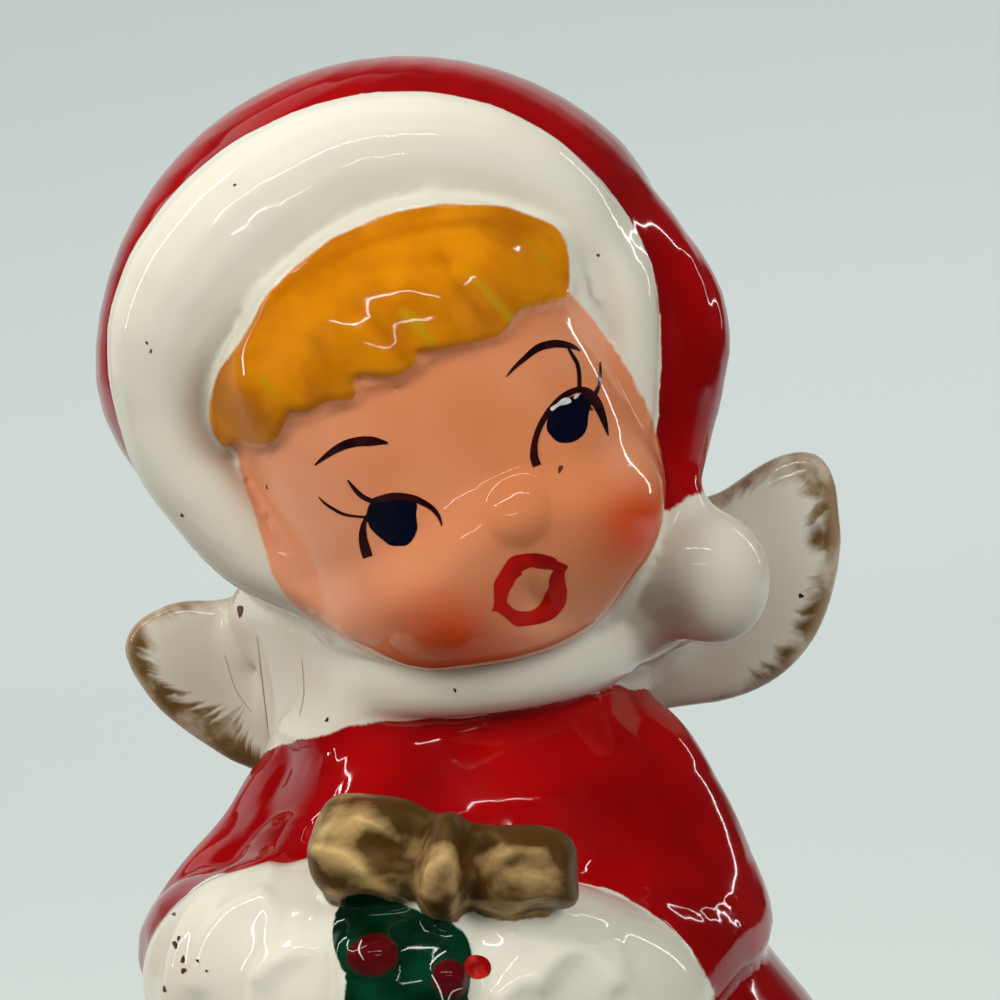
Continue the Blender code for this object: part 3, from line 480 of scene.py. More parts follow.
LINES = {
    "left_lid": ((372, 503, 3), (376, 500, 6), (394, 496, 7), (412, 498, 7), (424, 503, 6),
                 (433, 509, 5), (439, 517, 3.5), (442, 526, 1)),
    "left_corner": ((368, 514, 3), (364, 524, 5), (363, 536, 8), (365, 547, 10), (368, 557, 10)),
    "left_lash_high": ((348, 480, 1.5), (354, 488, 4), (362, 496, 5), (374, 502, 5)),
    "left_lash_low": ((319, 497, 1), (325, 503, 2.5), (334, 509, 3), (344, 514, 3), (355, 516, 2.5),
                      (366, 517, 2.5)),
    "left_brow": ((315, 465, 1.5), (326, 456, 5), (340, 447, 8), (355, 442, 9.5), (371, 441, 9.5),
                  (382, 442, 5), (388, 443, 2)),
    "right_lid_low": ((537, 466, 9), (534, 456, 8), (535, 441, 6), (540, 426, 6), (548, 412, 6)),
    "right_lid": ((548, 412, 6), (559, 400, 6.5), (569, 393, 6.5), (578, 390, 6), (587, 392, 8),
                  (595, 401, 10), (601, 413, 8), (605, 425, 5), (608, 436, 1)),
    "right_lash_high": ((566, 345, 1.5), (572, 355, 3.5), (577, 364, 4), (579, 375, 4), (579, 391, 4)),
    "right_lash_low": ((600, 362, 1.5), (600, 374, 3), (599, 385, 3.5), (594, 396, 5)),
    "right_brow": ((506, 377, 1), (514, 368, 3.5), (525, 358, 5.5), (538, 348, 7.5), (553, 344, 8),
                   (566, 345, 6.5), (575, 348, 4), (580, 351, 1.5)),
}
CHIPS = {
    "chip_long": ((550, 408), (556, 404), (562, 399), (568, 398), (571, 402), (565, 405),
                  (559, 406), (552, 411)),
    "chip_short": ((573, 398), (576, 394), (579, 395), (575, 399)),
}


def head_frame():
    """Frame of the head: origin at its middle, +Z to the crown, -Y to the face."""
    turn = Matrix.Rotation(HEAD_TURN, 4, "Z")
    lean = Matrix.Rotation(-HEAD_LEAN, 4, "Y")
    return Matrix.Translation(HEAD_CENTRE) @ turn @ lean


def muff_frame():
    return Matrix.Translation(MUFF_CENTRE) @ Matrix.Rotation(MUFF_TILT, 4, "Y")


def blend(value, low, high):
    share = min(max((value - low) / (high - low), 0.0), 1.0)
    return share * share * (3.0 - 2.0 * share)


def signed_power(value, power):
    return math.copysign(abs(value) ** power, value)


def turns(count):
    """Even angles once round."""
    return [2.0 * math.pi * index / count for index in range(count)]


def opened(*meshes):
    work = bmesh.new()
    for mesh in meshes:
        work.from_mesh(mesh)
    return work


def closed_into(mesh, work):
    work.to_mesh(mesh)
    work.free()


def surface_tree(*meshes):
    work = opened(*meshes)
    tree = BVHTree.FromBMesh(work)
    work.free()
    return tree


def linked(name, data):
    obj = bpy.data.objects.new(name, data)
    bpy.context.scene.collection.objects.link(obj)
    return obj


def solid_mesh(obj):
    """Turns an object into its evaluated mesh, in world space, with its caps welded."""
    graph = bpy.context.evaluated_depsgraph_get()
    graph.update()
    mesh = bpy.data.meshes.new_from_object(obj.evaluated_get(graph))
    mesh.transform(obj.matrix_world)
    bpy.data.objects.remove(obj, do_unlink=True)
    work = opened(mesh)
    bmesh.ops.remove_doubles(work, verts=work.verts, dist=0.000002)
    bmesh.ops.recalc_face_normals(work, faces=work.faces)
    closed_into(mesh, work)
    return mesh


class Forms:
    """Collects closed solids, each with the glaze that it carries."""

    def __init__(self):
        self.parts = []

    def sphere(self, segments, rings, glaze, move):
        """A ball of unit radius with each of its points moved."""
        bpy.ops.mesh.primitive_uv_sphere_add(segments=segments, ring_count=rings, radius=1.0)
        obj = bpy.context.object
        for vertex in obj.data.vertices:
            vertex.co = move(vertex.co.copy())
        self.parts.append((obj.data.copy(), glaze))
        bpy.data.objects.remove(obj, do_unlink=True)

    def ball(self, frame, centre, radii, glaze, shape=None, square=2.0, fine=1.0):
        """A ball stretched to its radii, squared off above a power of two."""
        def move(unit):
            if square != 2.0:
                total = sum(abs(value) ** square for value in unit) ** (1.0 / square)
                unit = unit / max(total, 1e-9)
            point = Vector((unit.x * radii[0], unit.y * radii[1], unit.z * radii[2]))
            if shape is not None:
                point = shape(point, unit)
            return frame @ (Vector(centre) + point)

        steps = int(ROUND_STEPS * fine)
        self.sphere(steps, steps // 2, glaze, move)

    def petal(self, frame, outline, thickness, glaze, surface, edge=0.45):
        """A flat lobe with an outline radius by angle and a rounded edge."""
        def move(unit):
            angle = math.atan2(unit.y, unit.x)
            reach = outline(angle) * math.hypot(unit.x, unit.y) ** 0.8
            across = reach * math.cos(angle)
            along = reach * math.sin(angle)
            out = 0.5 * thickness * signed_power(unit.z, edge)
            return frame @ Vector((across, surface(across, along) - out, along))

        self.sphere(ROUND_STEPS * 2, 24, glaze, move)

    def tube(self, frame, knots, glaze, closed=False):
        """A round bar through its knots, each knot a point and a radius."""
        curve = bpy.data.curves.new("tube", "CURVE")
        curve.dimensions = "3D"
        curve.bevel_depth = 1.0
        curve.bevel_resolution = 6
        curve.resolution_u = 8
        curve.use_fill_caps = not closed
        spline = curve.splines.new("BEZIER")
        spline.bezier_points.add(len(knots) - 1)
        spline.use_cyclic_u = closed
        spline.radius_interpolation = "CARDINAL"
        for knot, (place, radius) in zip(spline.bezier_points, knots):
            knot.co = frame @ Vector(place)
            knot.radius = radius
            knot.handle_left_type = "AUTO"
            knot.handle_right_type = "AUTO"
        self.parts.append((solid_mesh(linked("tube", curve)), glaze))
        if not closed:
            for place, radius in (knots[0], knots[-1]):
                self.ball(frame, place, (radius, radius, radius), glaze)

    def turned(self, profile, glaze, shape):
        """A profile of radius and height pairs, top to bottom, turned about +Z."""
        mesh = bpy.data.meshes.new("turned")
        points = [(radius, 0.0, height) for radius, height in profile]
        mesh.from_pydata(points, [(index, index + 1) for index in range(len(points) - 1)], [])
        obj = linked("turned", mesh)
        screw = obj.modifiers.new("turn", "SCREW")
        screw.steps = ROUND_STEPS
        screw.render_steps = ROUND_STEPS
        screw.use_merge_vertices = True
        screw.merge_threshold = 0.00001
        mesh = solid_mesh(obj)
        for vertex in mesh.vertices:
            vertex.co = shape(vertex.co)
        self.parts.append((mesh, glaze))


def through(before, start, end, after, share):
    """A smooth curve through four even values, at a share of the way from start to end."""
    slope = 2.0 * start + (end - before) * share
    curve = (2.0 * before - 5.0 * start + 4.0 * end - after) * share ** 2
    twist = (3.0 * start - before - 3.0 * end + after) * share ** 3
    return 0.5 * (slope + curve + twist)


def spaced_outline(radii):
    """A smooth closed outline through radii at equal angles from +X to +Z."""
    count = len(radii)

    def outline(angle):
        place = (angle / (2.0 * math.pi) * count) % count
        index = int(place)
        return through(*(radii[(index + shift) % count] for shift in (-1, 0, 1, 2)), place - index)

    return outline


def coat_profile():
    """Radius and height pairs of the coat from the neck down to the foot."""
    rise = WAIST_HEIGHT
    spread = HEM_RADIUS - WAIST_RADIUS
    upper = [
        (NECK_RADIUS, NECK_HEIGHT),
        (0.55 * NECK_RADIUS + 0.45 * CHEST_RADIUS, 0.6 * NECK_HEIGHT + 0.4 * CHEST_HEIGHT),
        (CHEST_RADIUS, CHEST_HEIGHT),
        (0.51 * (CHEST_RADIUS + WAIST_RADIUS), 0.5 * (CHEST_HEIGHT + WAIST_HEIGHT)),
        (WAIST_RADIUS, WAIST_HEIGHT),
    ]
    lower = []
    for share, drop in ((0.34, 0.14), (0.57, 0.25), (0.76, 0.40), (0.90, 0.58), (0.98, 0.78), (1.0, 1.0)):
        lower.append((WAIST_RADIUS + spread * share, rise * (1.0 - drop)))
    return upper + lower


def coat_fold(point):
    """Flattens the coat from front to back and lays soft folds in its skirt."""
    angle = math.atan2(point.y, point.x)
    depth = FOLD_DEPTH * (1.0 - blend(point.z, 0.2 * WAIST_HEIGHT, WAIST_HEIGHT))
    radius = math.hypot(point.x, point.y) + depth * math.cos(FOLD_COUNT * angle)
    return Vector((radius * math.cos(angle), COAT_DEPTH * radius * math.sin(angle), point.z))


def add_coat(forms):
    profile = coat_profile()
    closed = [(0.0, NECK_HEIGHT)] + profile + [(HEM_RADIUS, -FOOT_DEPTH), (0.0, -FOOT_DEPTH)]
    forms.turned(closed, "red_glaze", coat_fold)
    ring = []
    for angle in turns(24):
        reach = HEM_RADIUS - 0.35 * HEM_BAND_RADIUS
        place = (reach * math.cos(angle), COAT_DEPTH * reach * math.sin(angle), 1.25 * HEM_BAND_RADIUS)
        ring.append((place, HEM_BAND_RADIUS))
    forms.tube(BODY, ring, "white_glaze", closed=True)


def add_collar(forms):
    place = Vector((COLLAR_SIDE, -COLLAR_FORWARD, NECK_HEIGHT + COLLAR_RISE))
    frame = Matrix.Translation(place)
    ring = []
    for angle in turns(20):
        front = 0.5 - 0.5 * math.sin(angle)
        place = (
            COLLAR_REACH * math.cos(angle),
            0.92 * COLLAR_REACH * math.sin(angle),
            -COLLAR_DIP * front,
        )
        ring.append((place, COLLAR_ROLL * (0.9 + 0.1 * front)))
    forms.tube(frame, ring, "white_glaze", closed=True)
    forms.ball(frame, (0.0, 0.0, 0.0), (COLLAR_REACH, 0.92 * COLLAR_REACH, COLLAR_ROLL), "white_glaze")


def add_neck(forms):
    """The neck inside the collar, the nape and the webs that join the wings to it."""
    radius = NECK_RADIUS + 0.6 * WALL
    forms.tube(BODY, [(Vector((0.0, 0.0, CHEST_HEIGHT)), radius), (HEAD_CENTRE, radius)], "white_glaze")

    def place(across, back, up):
        return Vector((across * NECK_RADIUS, back * NECK_RADIUS, NECK_HEIGHT + up * NECK_RADIUS))

    nape = (1.65 * NECK_RADIUS, 0.5 * NECK_RADIUS + 0.7 * WING_BACK, 0.85 * NECK_RADIUS)
    forms.ball(BODY, place(0.0, 0.4, -0.25), nape, "white_glaze")
    webs = (
        ((-0.70, -0.70, -0.12, 0.39), (-1.12, -0.35, -0.26, 0.40), (-1.59, 0.29, -0.35, 0.39)),
        ((-1.00, -0.47, -0.06, 0.38), (-1.47, -0.06, 0.18, 0.38), (-1.82, 0.41, 0.41, 0.35)),
        ((1.00, 0.00, 0.00, 0.40), (1.50, 0.45, 0.10, 0.42), (1.90, 0.75, 0.30, 0.36)),
    )
    for web in webs:
        knots = [(place(across, back, up), thick * NECK_RADIUS) for across, back, up, thick in web]
        forms.tube(BODY, knots, "white_glaze")


def add_arms(forms):
    """Sleeves from the shoulders round the elbows into the muff's ends."""
    muff = muff_frame()
    for side in (-1.0, 1.0):
        shoulder = Vector((side * 0.5 * SHOULDER_SPAN, SHOULDER_BACK, CHEST_HEIGHT - SHOULDER_DROP))
        elbow = Vector((side * 0.5 * ELBOW_SPAN, -ELBOW_FORWARD, ELBOW_HEIGHT))
        swell = 1.08
        cuff_swell = 0.88
        if side < 0.0:
            elbow = elbow - Vector((LEFT_ELBOW_OUT, LEFT_ELBOW_FORWARD, 0.0))
            swell = 0.98
            cuff_swell = 0.90
        cuff = muff @ Vector((side * 0.35 * MUFF_LENGTH, 0.2 * MUFF_THICKNESS, 0.0))
        start = shoulder - Vector((side * 0.65 * SHOULDER_RADIUS, 0.0, -0.3 * SHOULDER_RADIUS))
        middle = shoulder.lerp(elbow, 0.5) + Vector((side * 0.1 * SLEEVE_RADIUS, 0.0, 0.0))
        forearm = elbow.lerp(cuff, 0.5) + Vector((0.0, 0.0, 0.2 * SLEEVE_RADIUS))
        knots = [
            (start, SHOULDER_RADIUS),
            (shoulder, SHOULDER_RADIUS),
            (middle, SLEEVE_RADIUS),
            (elbow, SLEEVE_RADIUS),
            (forearm, swell * SLEEVE_RADIUS),
            (cuff, cuff_swell * SLEEVE_RADIUS),
        ]
        forms.tube(BODY, knots, "red_glaze")
        crook = shoulder.lerp(cuff, 0.5) - Vector((side * 0.5 * SLEEVE_RADIUS, 0.2 * SLEEVE_RADIUS, 0.0))
        reach = 0.95 * SLEEVE_RADIUS
        forms.ball(BODY, crook, (reach, reach, reach), "red_glaze")


def muff_radius(share):
    """Share of the muff's girth at a share of its half length: the right end is squarer."""
    power = 2.05 if share < 0.0 else 2.5
    return (1.0 - min(abs(share), 1.0) ** power) ** 0.5


def muff_front(across, along):
    """Depth of the muff's front face behind its middle plane, in its own frame."""
    share = across / (0.5 * MUFF_LENGTH)
    scale = muff_radius(share)
    height = min(abs(along) / (0.5 * MUFF_HEIGHT * scale), 0.98)
    round_off = math.sqrt(1.0 - height * height)
    return MUFF_BEND * share * share - 0.5 * MUFF_THICKNESS * scale * round_off


def add_muff(forms):
    """A turned barrel, bent round the waist, with the soft ridges of fur."""
    frame = muff_frame()

    def barrel(point):
        share = point.z
        angle = math.atan2(point.x, -point.y)
        grow = 1.0 + MUFF_RIDGE * math.cos(14.0 * share + 1.3 * math.sin(2.0 * angle))
        return frame @ Vector((
            0.5 * MUFF_LENGTH * share,
            0.5 * MUFF_THICKNESS * point.y * grow + MUFF_BEND * share * share,
            0.5 * MUFF_HEIGHT * point.x * grow,
        ))

    count = 2 * ROUND_STEPS
    shares = [math.cos(math.pi * index / count) for index in range(count + 1)]
    forms.turned([(muff_radius(share), share) for share in shares], "white_glaze", barrel)


def add_bow(forms):
    """Two puffed loops, creased beside the knot that pinches them."""
    seat = Vector((BOW_SIDE, -0.27 * MUFF_THICKNESS, 0.55 * MUFF_HEIGHT))
    frame = muff_frame() @ Matrix.Translation(seat) @ Matrix.Rotation(-BOW_LEAN, 4, "X")
    loop = 0.25 * BOW_WIDTH

    def lobe(side):
        def shape(point, unit):
            outward = 0.5 + 0.5 * side * unit.x
            point.z = point.z * (0.74 + 0.32 * outward)
            crease = math.exp(-(((unit.x + side * 0.5) / 0.22) ** 2) - ((unit.z - 0.15) / 0.5) ** 2)
            if unit.y < 0.0:
                point.y = point.y + 0.22 * BOW_THICKNESS * crease
            return point
        return shape

    for side in (-1.0, 1.0):
        grow = 0.96 - 0.08 * side
        centre = (side * loop * 1.08, 0.0, -side * 0.05 * BOW_HEIGHT)
        radii = (loop * 1.1, 0.5 * BOW_THICKNESS, 0.5 * BOW_HEIGHT * grow)
        forms.ball(frame, centre, radii, "gold_lustre", shape=lobe(side), square=2.5)
    knot = (0.5 * BOW_KNOT_WIDTH, 0.56 * BOW_THICKNESS, 0.5 * BOW_KNOT_HEIGHT)
    place = (0.0, -0.14 * BOW_THICKNESS, -0.14 * BOW_HEIGHT)
    forms.ball(frame, place, knot, "gold_lustre", square=2.4)


def add_holly(forms):
    """One scalloped leaf that lies on the muff, with two berries."""
    middle = Vector((-0.03 * LEAF_WIDTH, 0.0, 0.23 * MUFF_HEIGHT))

    def outline(angle):
        tip = angle - LEAF_TURN
        oval = 0.25 * LEAF_LENGTH * LEAF_WIDTH / math.hypot(
            0.5 * LEAF_WIDTH * math.cos(tip), 0.5 * LEAF_LENGTH * math.sin(tip))
        return oval * (1.0 + 0.06 * math.cos(8.0 * tip))

    def surface(across, along):
        height = min(along + middle.z, 0.47 * MUFF_HEIGHT)
        return muff_front(across + middle.x, height) + 0.3 * LEAF_RELIEF

    frame = muff_frame() @ Matrix.Translation(middle)
    forms.petal(frame, outline, 2.6 * LEAF_RELIEF, "green_glaze", surface)
    for out, up, size in ((-0.20, 0.02, 1.06), (0.35, -0.05, 0.92)):
        across = out * LEAF_WIDTH
        along = up * LEAF_LENGTH
        seat = Vector((across, muff_front(across + middle.x, along + middle.z), along))
        radius = BERRY_RADIUS * size
        forms.ball(frame, seat, (radius, radius, radius), "berry_glaze")


def face_middle():
    return Vector((-FACE_SIDE, -FACE_FORWARD, -FACE_DROP))


def add_head(forms):
    frame = head_frame()
    half_width = 0.5 * FACE_WIDTH
    half_height = 0.5 * FACE_HEIGHT
    face = face_middle()

    def hood(point, unit):
        angle = math.atan2(unit.z, unit.x)
        start = 0.2 * math.cos(angle) - 0.3
        draw = 1.0 - HOOD_TAPER * blend(-math.sin(angle), start, start + 0.7) * math.hypot(unit.x, unit.z)
        front = max(point.y, -TRIM_FORWARD - HOOD_BACK)
        return Vector((point.x * draw, front, point.z * draw))

    forms.ball(frame, (0.0, HOOD_BACK, 0.0), (HOOD_RADIUS, HOOD_DEPTH, HOOD_RADIUS), "red_glaze", shape=hood)

    def feature(unit, across, up, reach):
        return math.exp(-((unit.x - across) ** 2 + (unit.z - up) ** 2) / (reach * reach))

    def soften(point, unit):
        front = blend(-unit.y, 0.0, 0.6)
        relief = CHEEK_RELIEF * feature(unit, -0.50, -0.46, 0.30)
        relief = relief + CHEEK_RELIEF * feature(unit, 0.50, -0.46, 0.30)
        relief = relief + CHIN_RELIEF * feature(unit, 0.03, -0.86, 0.16)
        relief = relief - MOUTH_DIMPLE * feature(unit, 0.03, -0.66, 0.12)
        relief = relief - 0.5 * CHEEK_RELIEF * feature(unit, 0.03, 0.05, 0.42)
        point.y = point.y - relief * front
        return point

    radii = (half_width, FACE_DEPTH, half_height)
    forms.ball(frame, face, radii, "flesh_paint", shape=soften, square=FACE_SQUARE, fine=1.6)
    nose = face + Vector((NOSE_SIDE, NOSE_RADIUS - NOSE_RELIEF - FACE_DEPTH, -0.30 * half_height))
    forms.ball(frame, nose, (NOSE_RADIUS, NOSE_RADIUS, 0.9 * NOSE_RADIUS), "flesh_paint")


def add_trim(forms):
    """The fur roll, thick over the brow and thin beside the cheeks, and the lining behind it."""
    frame = head_frame()
    ring = []
    lining = []
    for angle in turns(28):
        side = math.cos(angle)
        rise = math.sin(angle)
        upper = blend(rise, 0.05 - 0.25 * side, 0.82)
        swell = TRIM_ROLL_CROWN * blend(math.cos(angle - TRIM_CROWN_TURN), 0.85, 1.0)
        swell = swell - TRIM_ROLL_RIGHT * blend(side, 0.3, 1.0)
        reach = swell + TRIM_DRAW * blend(-rise, 0.2 * side - 0.2, 0.12 * side + 0.28)
        across = (0.5 * TRIM_WIDTH - reach) * side
        along = (0.5 * TRIM_HEIGHT - reach) * rise
        place = Vector((across - TRIM_SIDE, -TRIM_FORWARD, along - TRIM_DROP))
        ring.append((place, TRIM_ROLL_LOW + (TRIM_ROLL_TOP - TRIM_ROLL_LOW) * upper + swell))
        place = Vector((0.93 * across - TRIM_SIDE, -0.45 * TRIM_FORWARD, 0.93 * along - TRIM_DROP))
        lining.append((place, TRIM_ROLL_LOW))
    forms.tube(frame, ring, "white_glaze", closed=True)
    forms.tube(frame, lining, "white_glaze", closed=True)


def face_front(across, height):
    """Depth of the forehead at a place, in the head's own frame."""
    side = abs(across + FACE_SIDE) / (0.5 * FACE_WIDTH)
    rise = abs(height + FACE_DROP) / (0.5 * FACE_HEIGHT)
    share = max(1.0 - side ** FACE_SQUARE - rise ** FACE_SQUARE, 0.02)
    return -FACE_FORWARD - FACE_DEPTH * share ** (1.0 / FACE_SQUARE)


def add_hair(forms):
    """A smooth cap of hair that swells into the soft locks of its fringe."""
    frame = head_frame()

    def cap(point, unit):
        height = point.z - FACE_DROP + FRINGE_TILT * point.x
        grow = blend(height, FRINGE_HEIGHT - FRINGE_EDGE, FRINGE_HEIGHT + FRINGE_EDGE)
        return point * (0.88 + 0.12 * grow)

    radii = (0.5 * FACE_WIDTH + HAIR_RELIEF, FACE_DEPTH + HAIR_RELIEF, 0.5 * FACE_HEIGHT + HAIR_RELIEF)
    forms.ball(frame, face_middle(), radii, "hair_paint", shape=cap, square=FACE_SQUARE, fine=1.6)
    top = FRINGE_HEIGHT + 2.2 * LOCK_RADIUS
    for index in range(LOCK_COUNT):
        foot_x = -HAIR_LEFT + (HAIR_LEFT + HAIR_RIGHT) * index / (LOCK_COUNT - 1)
        root_x = 0.8 * foot_x + 0.3 * LOCK_RADIUS
        foot_z = FRINGE_HEIGHT - FRINGE_TILT * foot_x + (0.8 + 0.12 * math.cos(2.4 * index)) * LOCK_RADIUS
        knots = []
        for step in range(4):
            down = step / 3.0
            across = root_x + (foot_x - root_x) * down
            height = top + (foot_z - top) * down
            radius = LOCK_RADIUS * (0.8 + 0.2 * down)
            relief = HAIR_RELIEF + LOCK_RELIEF * (1.5 * down - 0.5 * down * down - 0.35)
            depth = face_front(across, height) - relief + radius
            knots.append(((across, depth, height), radius))
        forms.tube(frame, knots, "hair_paint")


def add_tail(forms):
    """The hood's soft tail falls beside the face and ends in a pompom."""
    frame = head_frame()
    side = HOOD_RADIUS - TAIL_RADIUS

    def run(path):
        knots = []
        for out, back, up, thick in path:
            place = Vector((side + out * HOOD_RADIUS, back * HOOD_RADIUS, up * HOOD_RADIUS))
            knots.append((place, thick * TAIL_RADIUS))
        forms.tube(frame, knots, "red_glaze")
        return knots[-1][0]

    end = run((
        (-0.148, 0.127, 0.403, 0.80),
        (-0.008, 0.034, 0.102, 0.93),
        (0.013, -0.025, -0.081, 1.00),
        (-0.008, -0.068, -0.229, 1.02),
        (-0.072, -0.119, -0.356, 0.93),
        (-0.148, -0.161, -0.483, 0.80),
        (-0.225, -0.212, -0.619, 0.66),
        (-0.255, -0.254, -0.700, 0.58),
    ))
    run((
        (0.127, -0.068, 0.195, 0.30),
        (0.153, -0.144, 0.008, 0.36),
        (0.114, -0.203, -0.203, 0.36),
        (0.008, -0.254, -0.432, 0.26),
    ))
    radius = POMPOM_RADIUS
    pompom = end + Vector((0.04, -0.27, -1.28)) * radius
    forms.ball(frame, pompom, (0.97 * radius, 0.95 * radius, 1.06 * radius), "white_glaze")
    cuff = 0.68 * radius
    forms.ball(frame, end + Vector((0.0, -0.1, -0.5)) * radius, (cuff, cuff, cuff), "white_glaze")
    seat = pompom + Vector((-0.70, 0.86, 0.16)) * radius
    forms.ball(frame, seat, (1.3 * radius, 1.1 * radius, 1.1 * radius), "white_glaze")


def add_wings(forms):
    """Two rounded wings that rise from the middle of the back."""
    for side, centre, size, shape, _ in WINGS:
        outline = spaced_outline([size * share for share in shape])
        frame = Matrix.Translation(centre) @ Matrix.Scale(side, 4, (1.0, 0.0, 0.0))

        def surface(across, along, root=size * shape[8]):
            return 0.7 * WING_THICKNESS * (1.0 - blend(across + root, 0.0, 1.3 * root)) - 0.02 * along

        forms.petal(frame, outline, WING_THICKNESS, "white_glaze", surface, edge=0.55)


def fused_mesh(name, meshes):
    """Fuses closed meshes into one smooth skin with a limit on its triangles."""
    work = opened(*meshes)
    bmesh.ops.recalc_face_normals(work, faces=work.faces)
    mesh = bpy.data.meshes.new(name)
    closed_into(mesh, work)
    obj = linked(name, mesh)
    remesh = obj.modifiers.new("fuse", "REMESH")
    remesh.mode = "VOXEL"
    remesh.voxel_size = FINE_STEP
    soften = obj.modifiers.new("soften", "SMOOTH")
    soften.factor = 0.5
    soften.iterations = FUSE_SMOOTH
    corners = obj.modifiers.new("corners", "TRIANGULATE")
    corners.quad_method = "SHORTEST_DIAGONAL"
    graph = bpy.context.evaluated_depsgraph_get()
    count = len(obj.evaluated_get(graph).data.polygons)
    reduce = obj.modifiers.new("reduce", "DECIMATE")
    reduce.ratio = min(1.0, FINE_TRIANGLES / count)
    return solid_mesh(obj)


def view_axes():
    """The view's right, up and back directions."""
    back = Vector((
        math.sin(VIEW_AZIMUTH) * math.cos(VIEW_ELEVATION),
        -math.cos(VIEW_AZIMUTH) * math.cos(VIEW_ELEVATION),
        math.sin(VIEW_ELEVATION),
    ))
    flat = Vector((math.cos(VIEW_AZIMUTH), math.sin(VIEW_AZIMUTH), 0.0))
    rise = back.cross(flat)
    right = math.cos(VIEW_ROLL) * flat - math.sin(VIEW_ROLL) * rise
    up = math.sin(VIEW_ROLL) * flat + math.cos(VIEW_ROLL) * rise
    return right, up, back


RIGHT, UP, BACK = view_axes()
EYE = VIEW_TARGET + BACK * VIEW_DISTANCE
PIXEL = VIEW_WIDTH / 1000.0


def sight(column, row):
    """Direction from the camera through a pixel of the view."""
    across = (column - 500.0) * PIXEL / VIEW_DISTANCE
    along = (500.0 - row) * PIXEL / VIEW_DISTANCE
    return (RIGHT * across + UP * along - BACK).normalized()


def smooth_line(points, steps=6, closed=False):
    """Points along a smooth line through the given ones."""
    last = len(points) - 1
    result = []
    for index in range(last + closed):
        four = []
        for place in range(index - 1, index + 3):
            four.append(points[place % (last + 1) if closed else min(max(place, 0), last)])
        for step in range(steps):
            result.append(tuple(through(*values, step / steps) for values in zip(*four)))
    if not closed:
        result.append(tuple(points[-1]))
    return result


class Painter:
    """Lays paint on the figure: thin films that follow its surface."""

    def __init__(self, mesh):
        self.tree = surface_tree(mesh)

    def touch(self, column, row, lift):
        place, normal, _, _ = self.tree.ray_cast(EYE, sight(column, row))
        return None if place is None else place + normal * lift

    def film(self, name, outline, material, lift=PAINT_LIFT, spacing=3.0, smooth=4, holes=()):
        """A filled patch inside an outline of pixels, with optional holes."""
        rings = [smooth_line(ring, smooth, closed=True) for ring in (outline, *holes)]

        def covered(column, row):
            return inside(rings[0], column, row) and not any(inside(ring, column, row) for ring in rings[1:])

        flat = []
        edges = []
        for ring in rings:
            start = len(flat)
            flat.extend(Vector(point) for point in ring)
            edges.extend((start + index, start + (index + 1) % len(ring)) for index in range(len(ring)))
        columns, rows = zip(*rings[0])
        column = min(columns) + spacing
        while column < max(columns):
            row = min(rows) + spacing
            while row < max(rows):
                if covered(column, row):
                    flat.append(Vector((column, row)))
                row = row + spacing
            column = column + spacing
        points, _, faces, _, _, _ = delaunay_2d_cdt(flat, edges, [], 0, 0.01)
        keep = []
        for face in faces:
            if covered(*(sum(points[index][axis] for index in face) / len(face) for axis in (0, 1))):
                keep.append(face)
        self.lay(name, points, keep, material, lift)

    def stroke(self, name, knots, material, lift=PAINT_LIFT, steps=6):
        """A brush line through knots of column, row and width in pixels."""
        line = smooth_line(knots, steps)
        places = []
        faces = []
        for index, (column, row, width) in enumerate(line):
            before = line[max(index - 1, 0)]
            after = line[min(index + 1, len(line) - 1)]
            run = Vector((after[0] - before[0], after[1] - before[1])).normalized()
            side = Vector((-run.y, run.x)) * 0.5 * max(width, 0.3)
            places.extend((column + way * side.x, row + way * side.y) for way in (-1, 0, 1))
            if index:
                base = 3 * index - 3
                faces.append((base, base + 1, base + 4, base + 3))
                faces.append((base + 1, base + 2, base + 5, base + 4))
        self.lay(name, places, faces, material, lift)

    def lay(self, name, places, faces, material, lift):
        spots = [self.touch(column, row, lift) for column, row in places]
        faces = [face for face in faces if all(spots[index] is not None for index in face)]
        spots = [spot if spot is not None else Vector() for spot in spots]
        mesh = bpy.data.meshes.new(name)
        mesh.from_pydata(spots, [], [tuple(reversed(face)) for face in faces])
        work = opened(mesh)
        loose = [vertex for vertex in work.verts if not vertex.link_faces]
        bmesh.ops.delete(work, geom=loose, context="VERTS")
        bmesh.ops.recalc_face_normals(work, faces=work.faces)
        total = Vector()
        for face in work.faces:
            total = total + face.normal * face.calc_area()
        if total.dot(BACK) < 0.0:
            bmesh.ops.reverse_faces(work, faces=work.faces)
        closed_into(mesh, work)
        mesh.materials.append(material)
        mesh.shade_smooth()
        add_piece(name, mesh)


def inside(ring, column, row):
    """Whether a pixel lies within a ring of pixels."""
    result = False
    last = ring[-1]
    for point in ring:
        if (point[1] > row) != (last[1] > row):
            share = (row - point[1]) / (last[1] - point[1])
            if column < point[0] + share * (last[0] - point[0]):
                result = not result
        last = point
    return result


def add_piece(name, mesh):
    obj = linked(name, mesh)
    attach(obj, "root")
    return obj


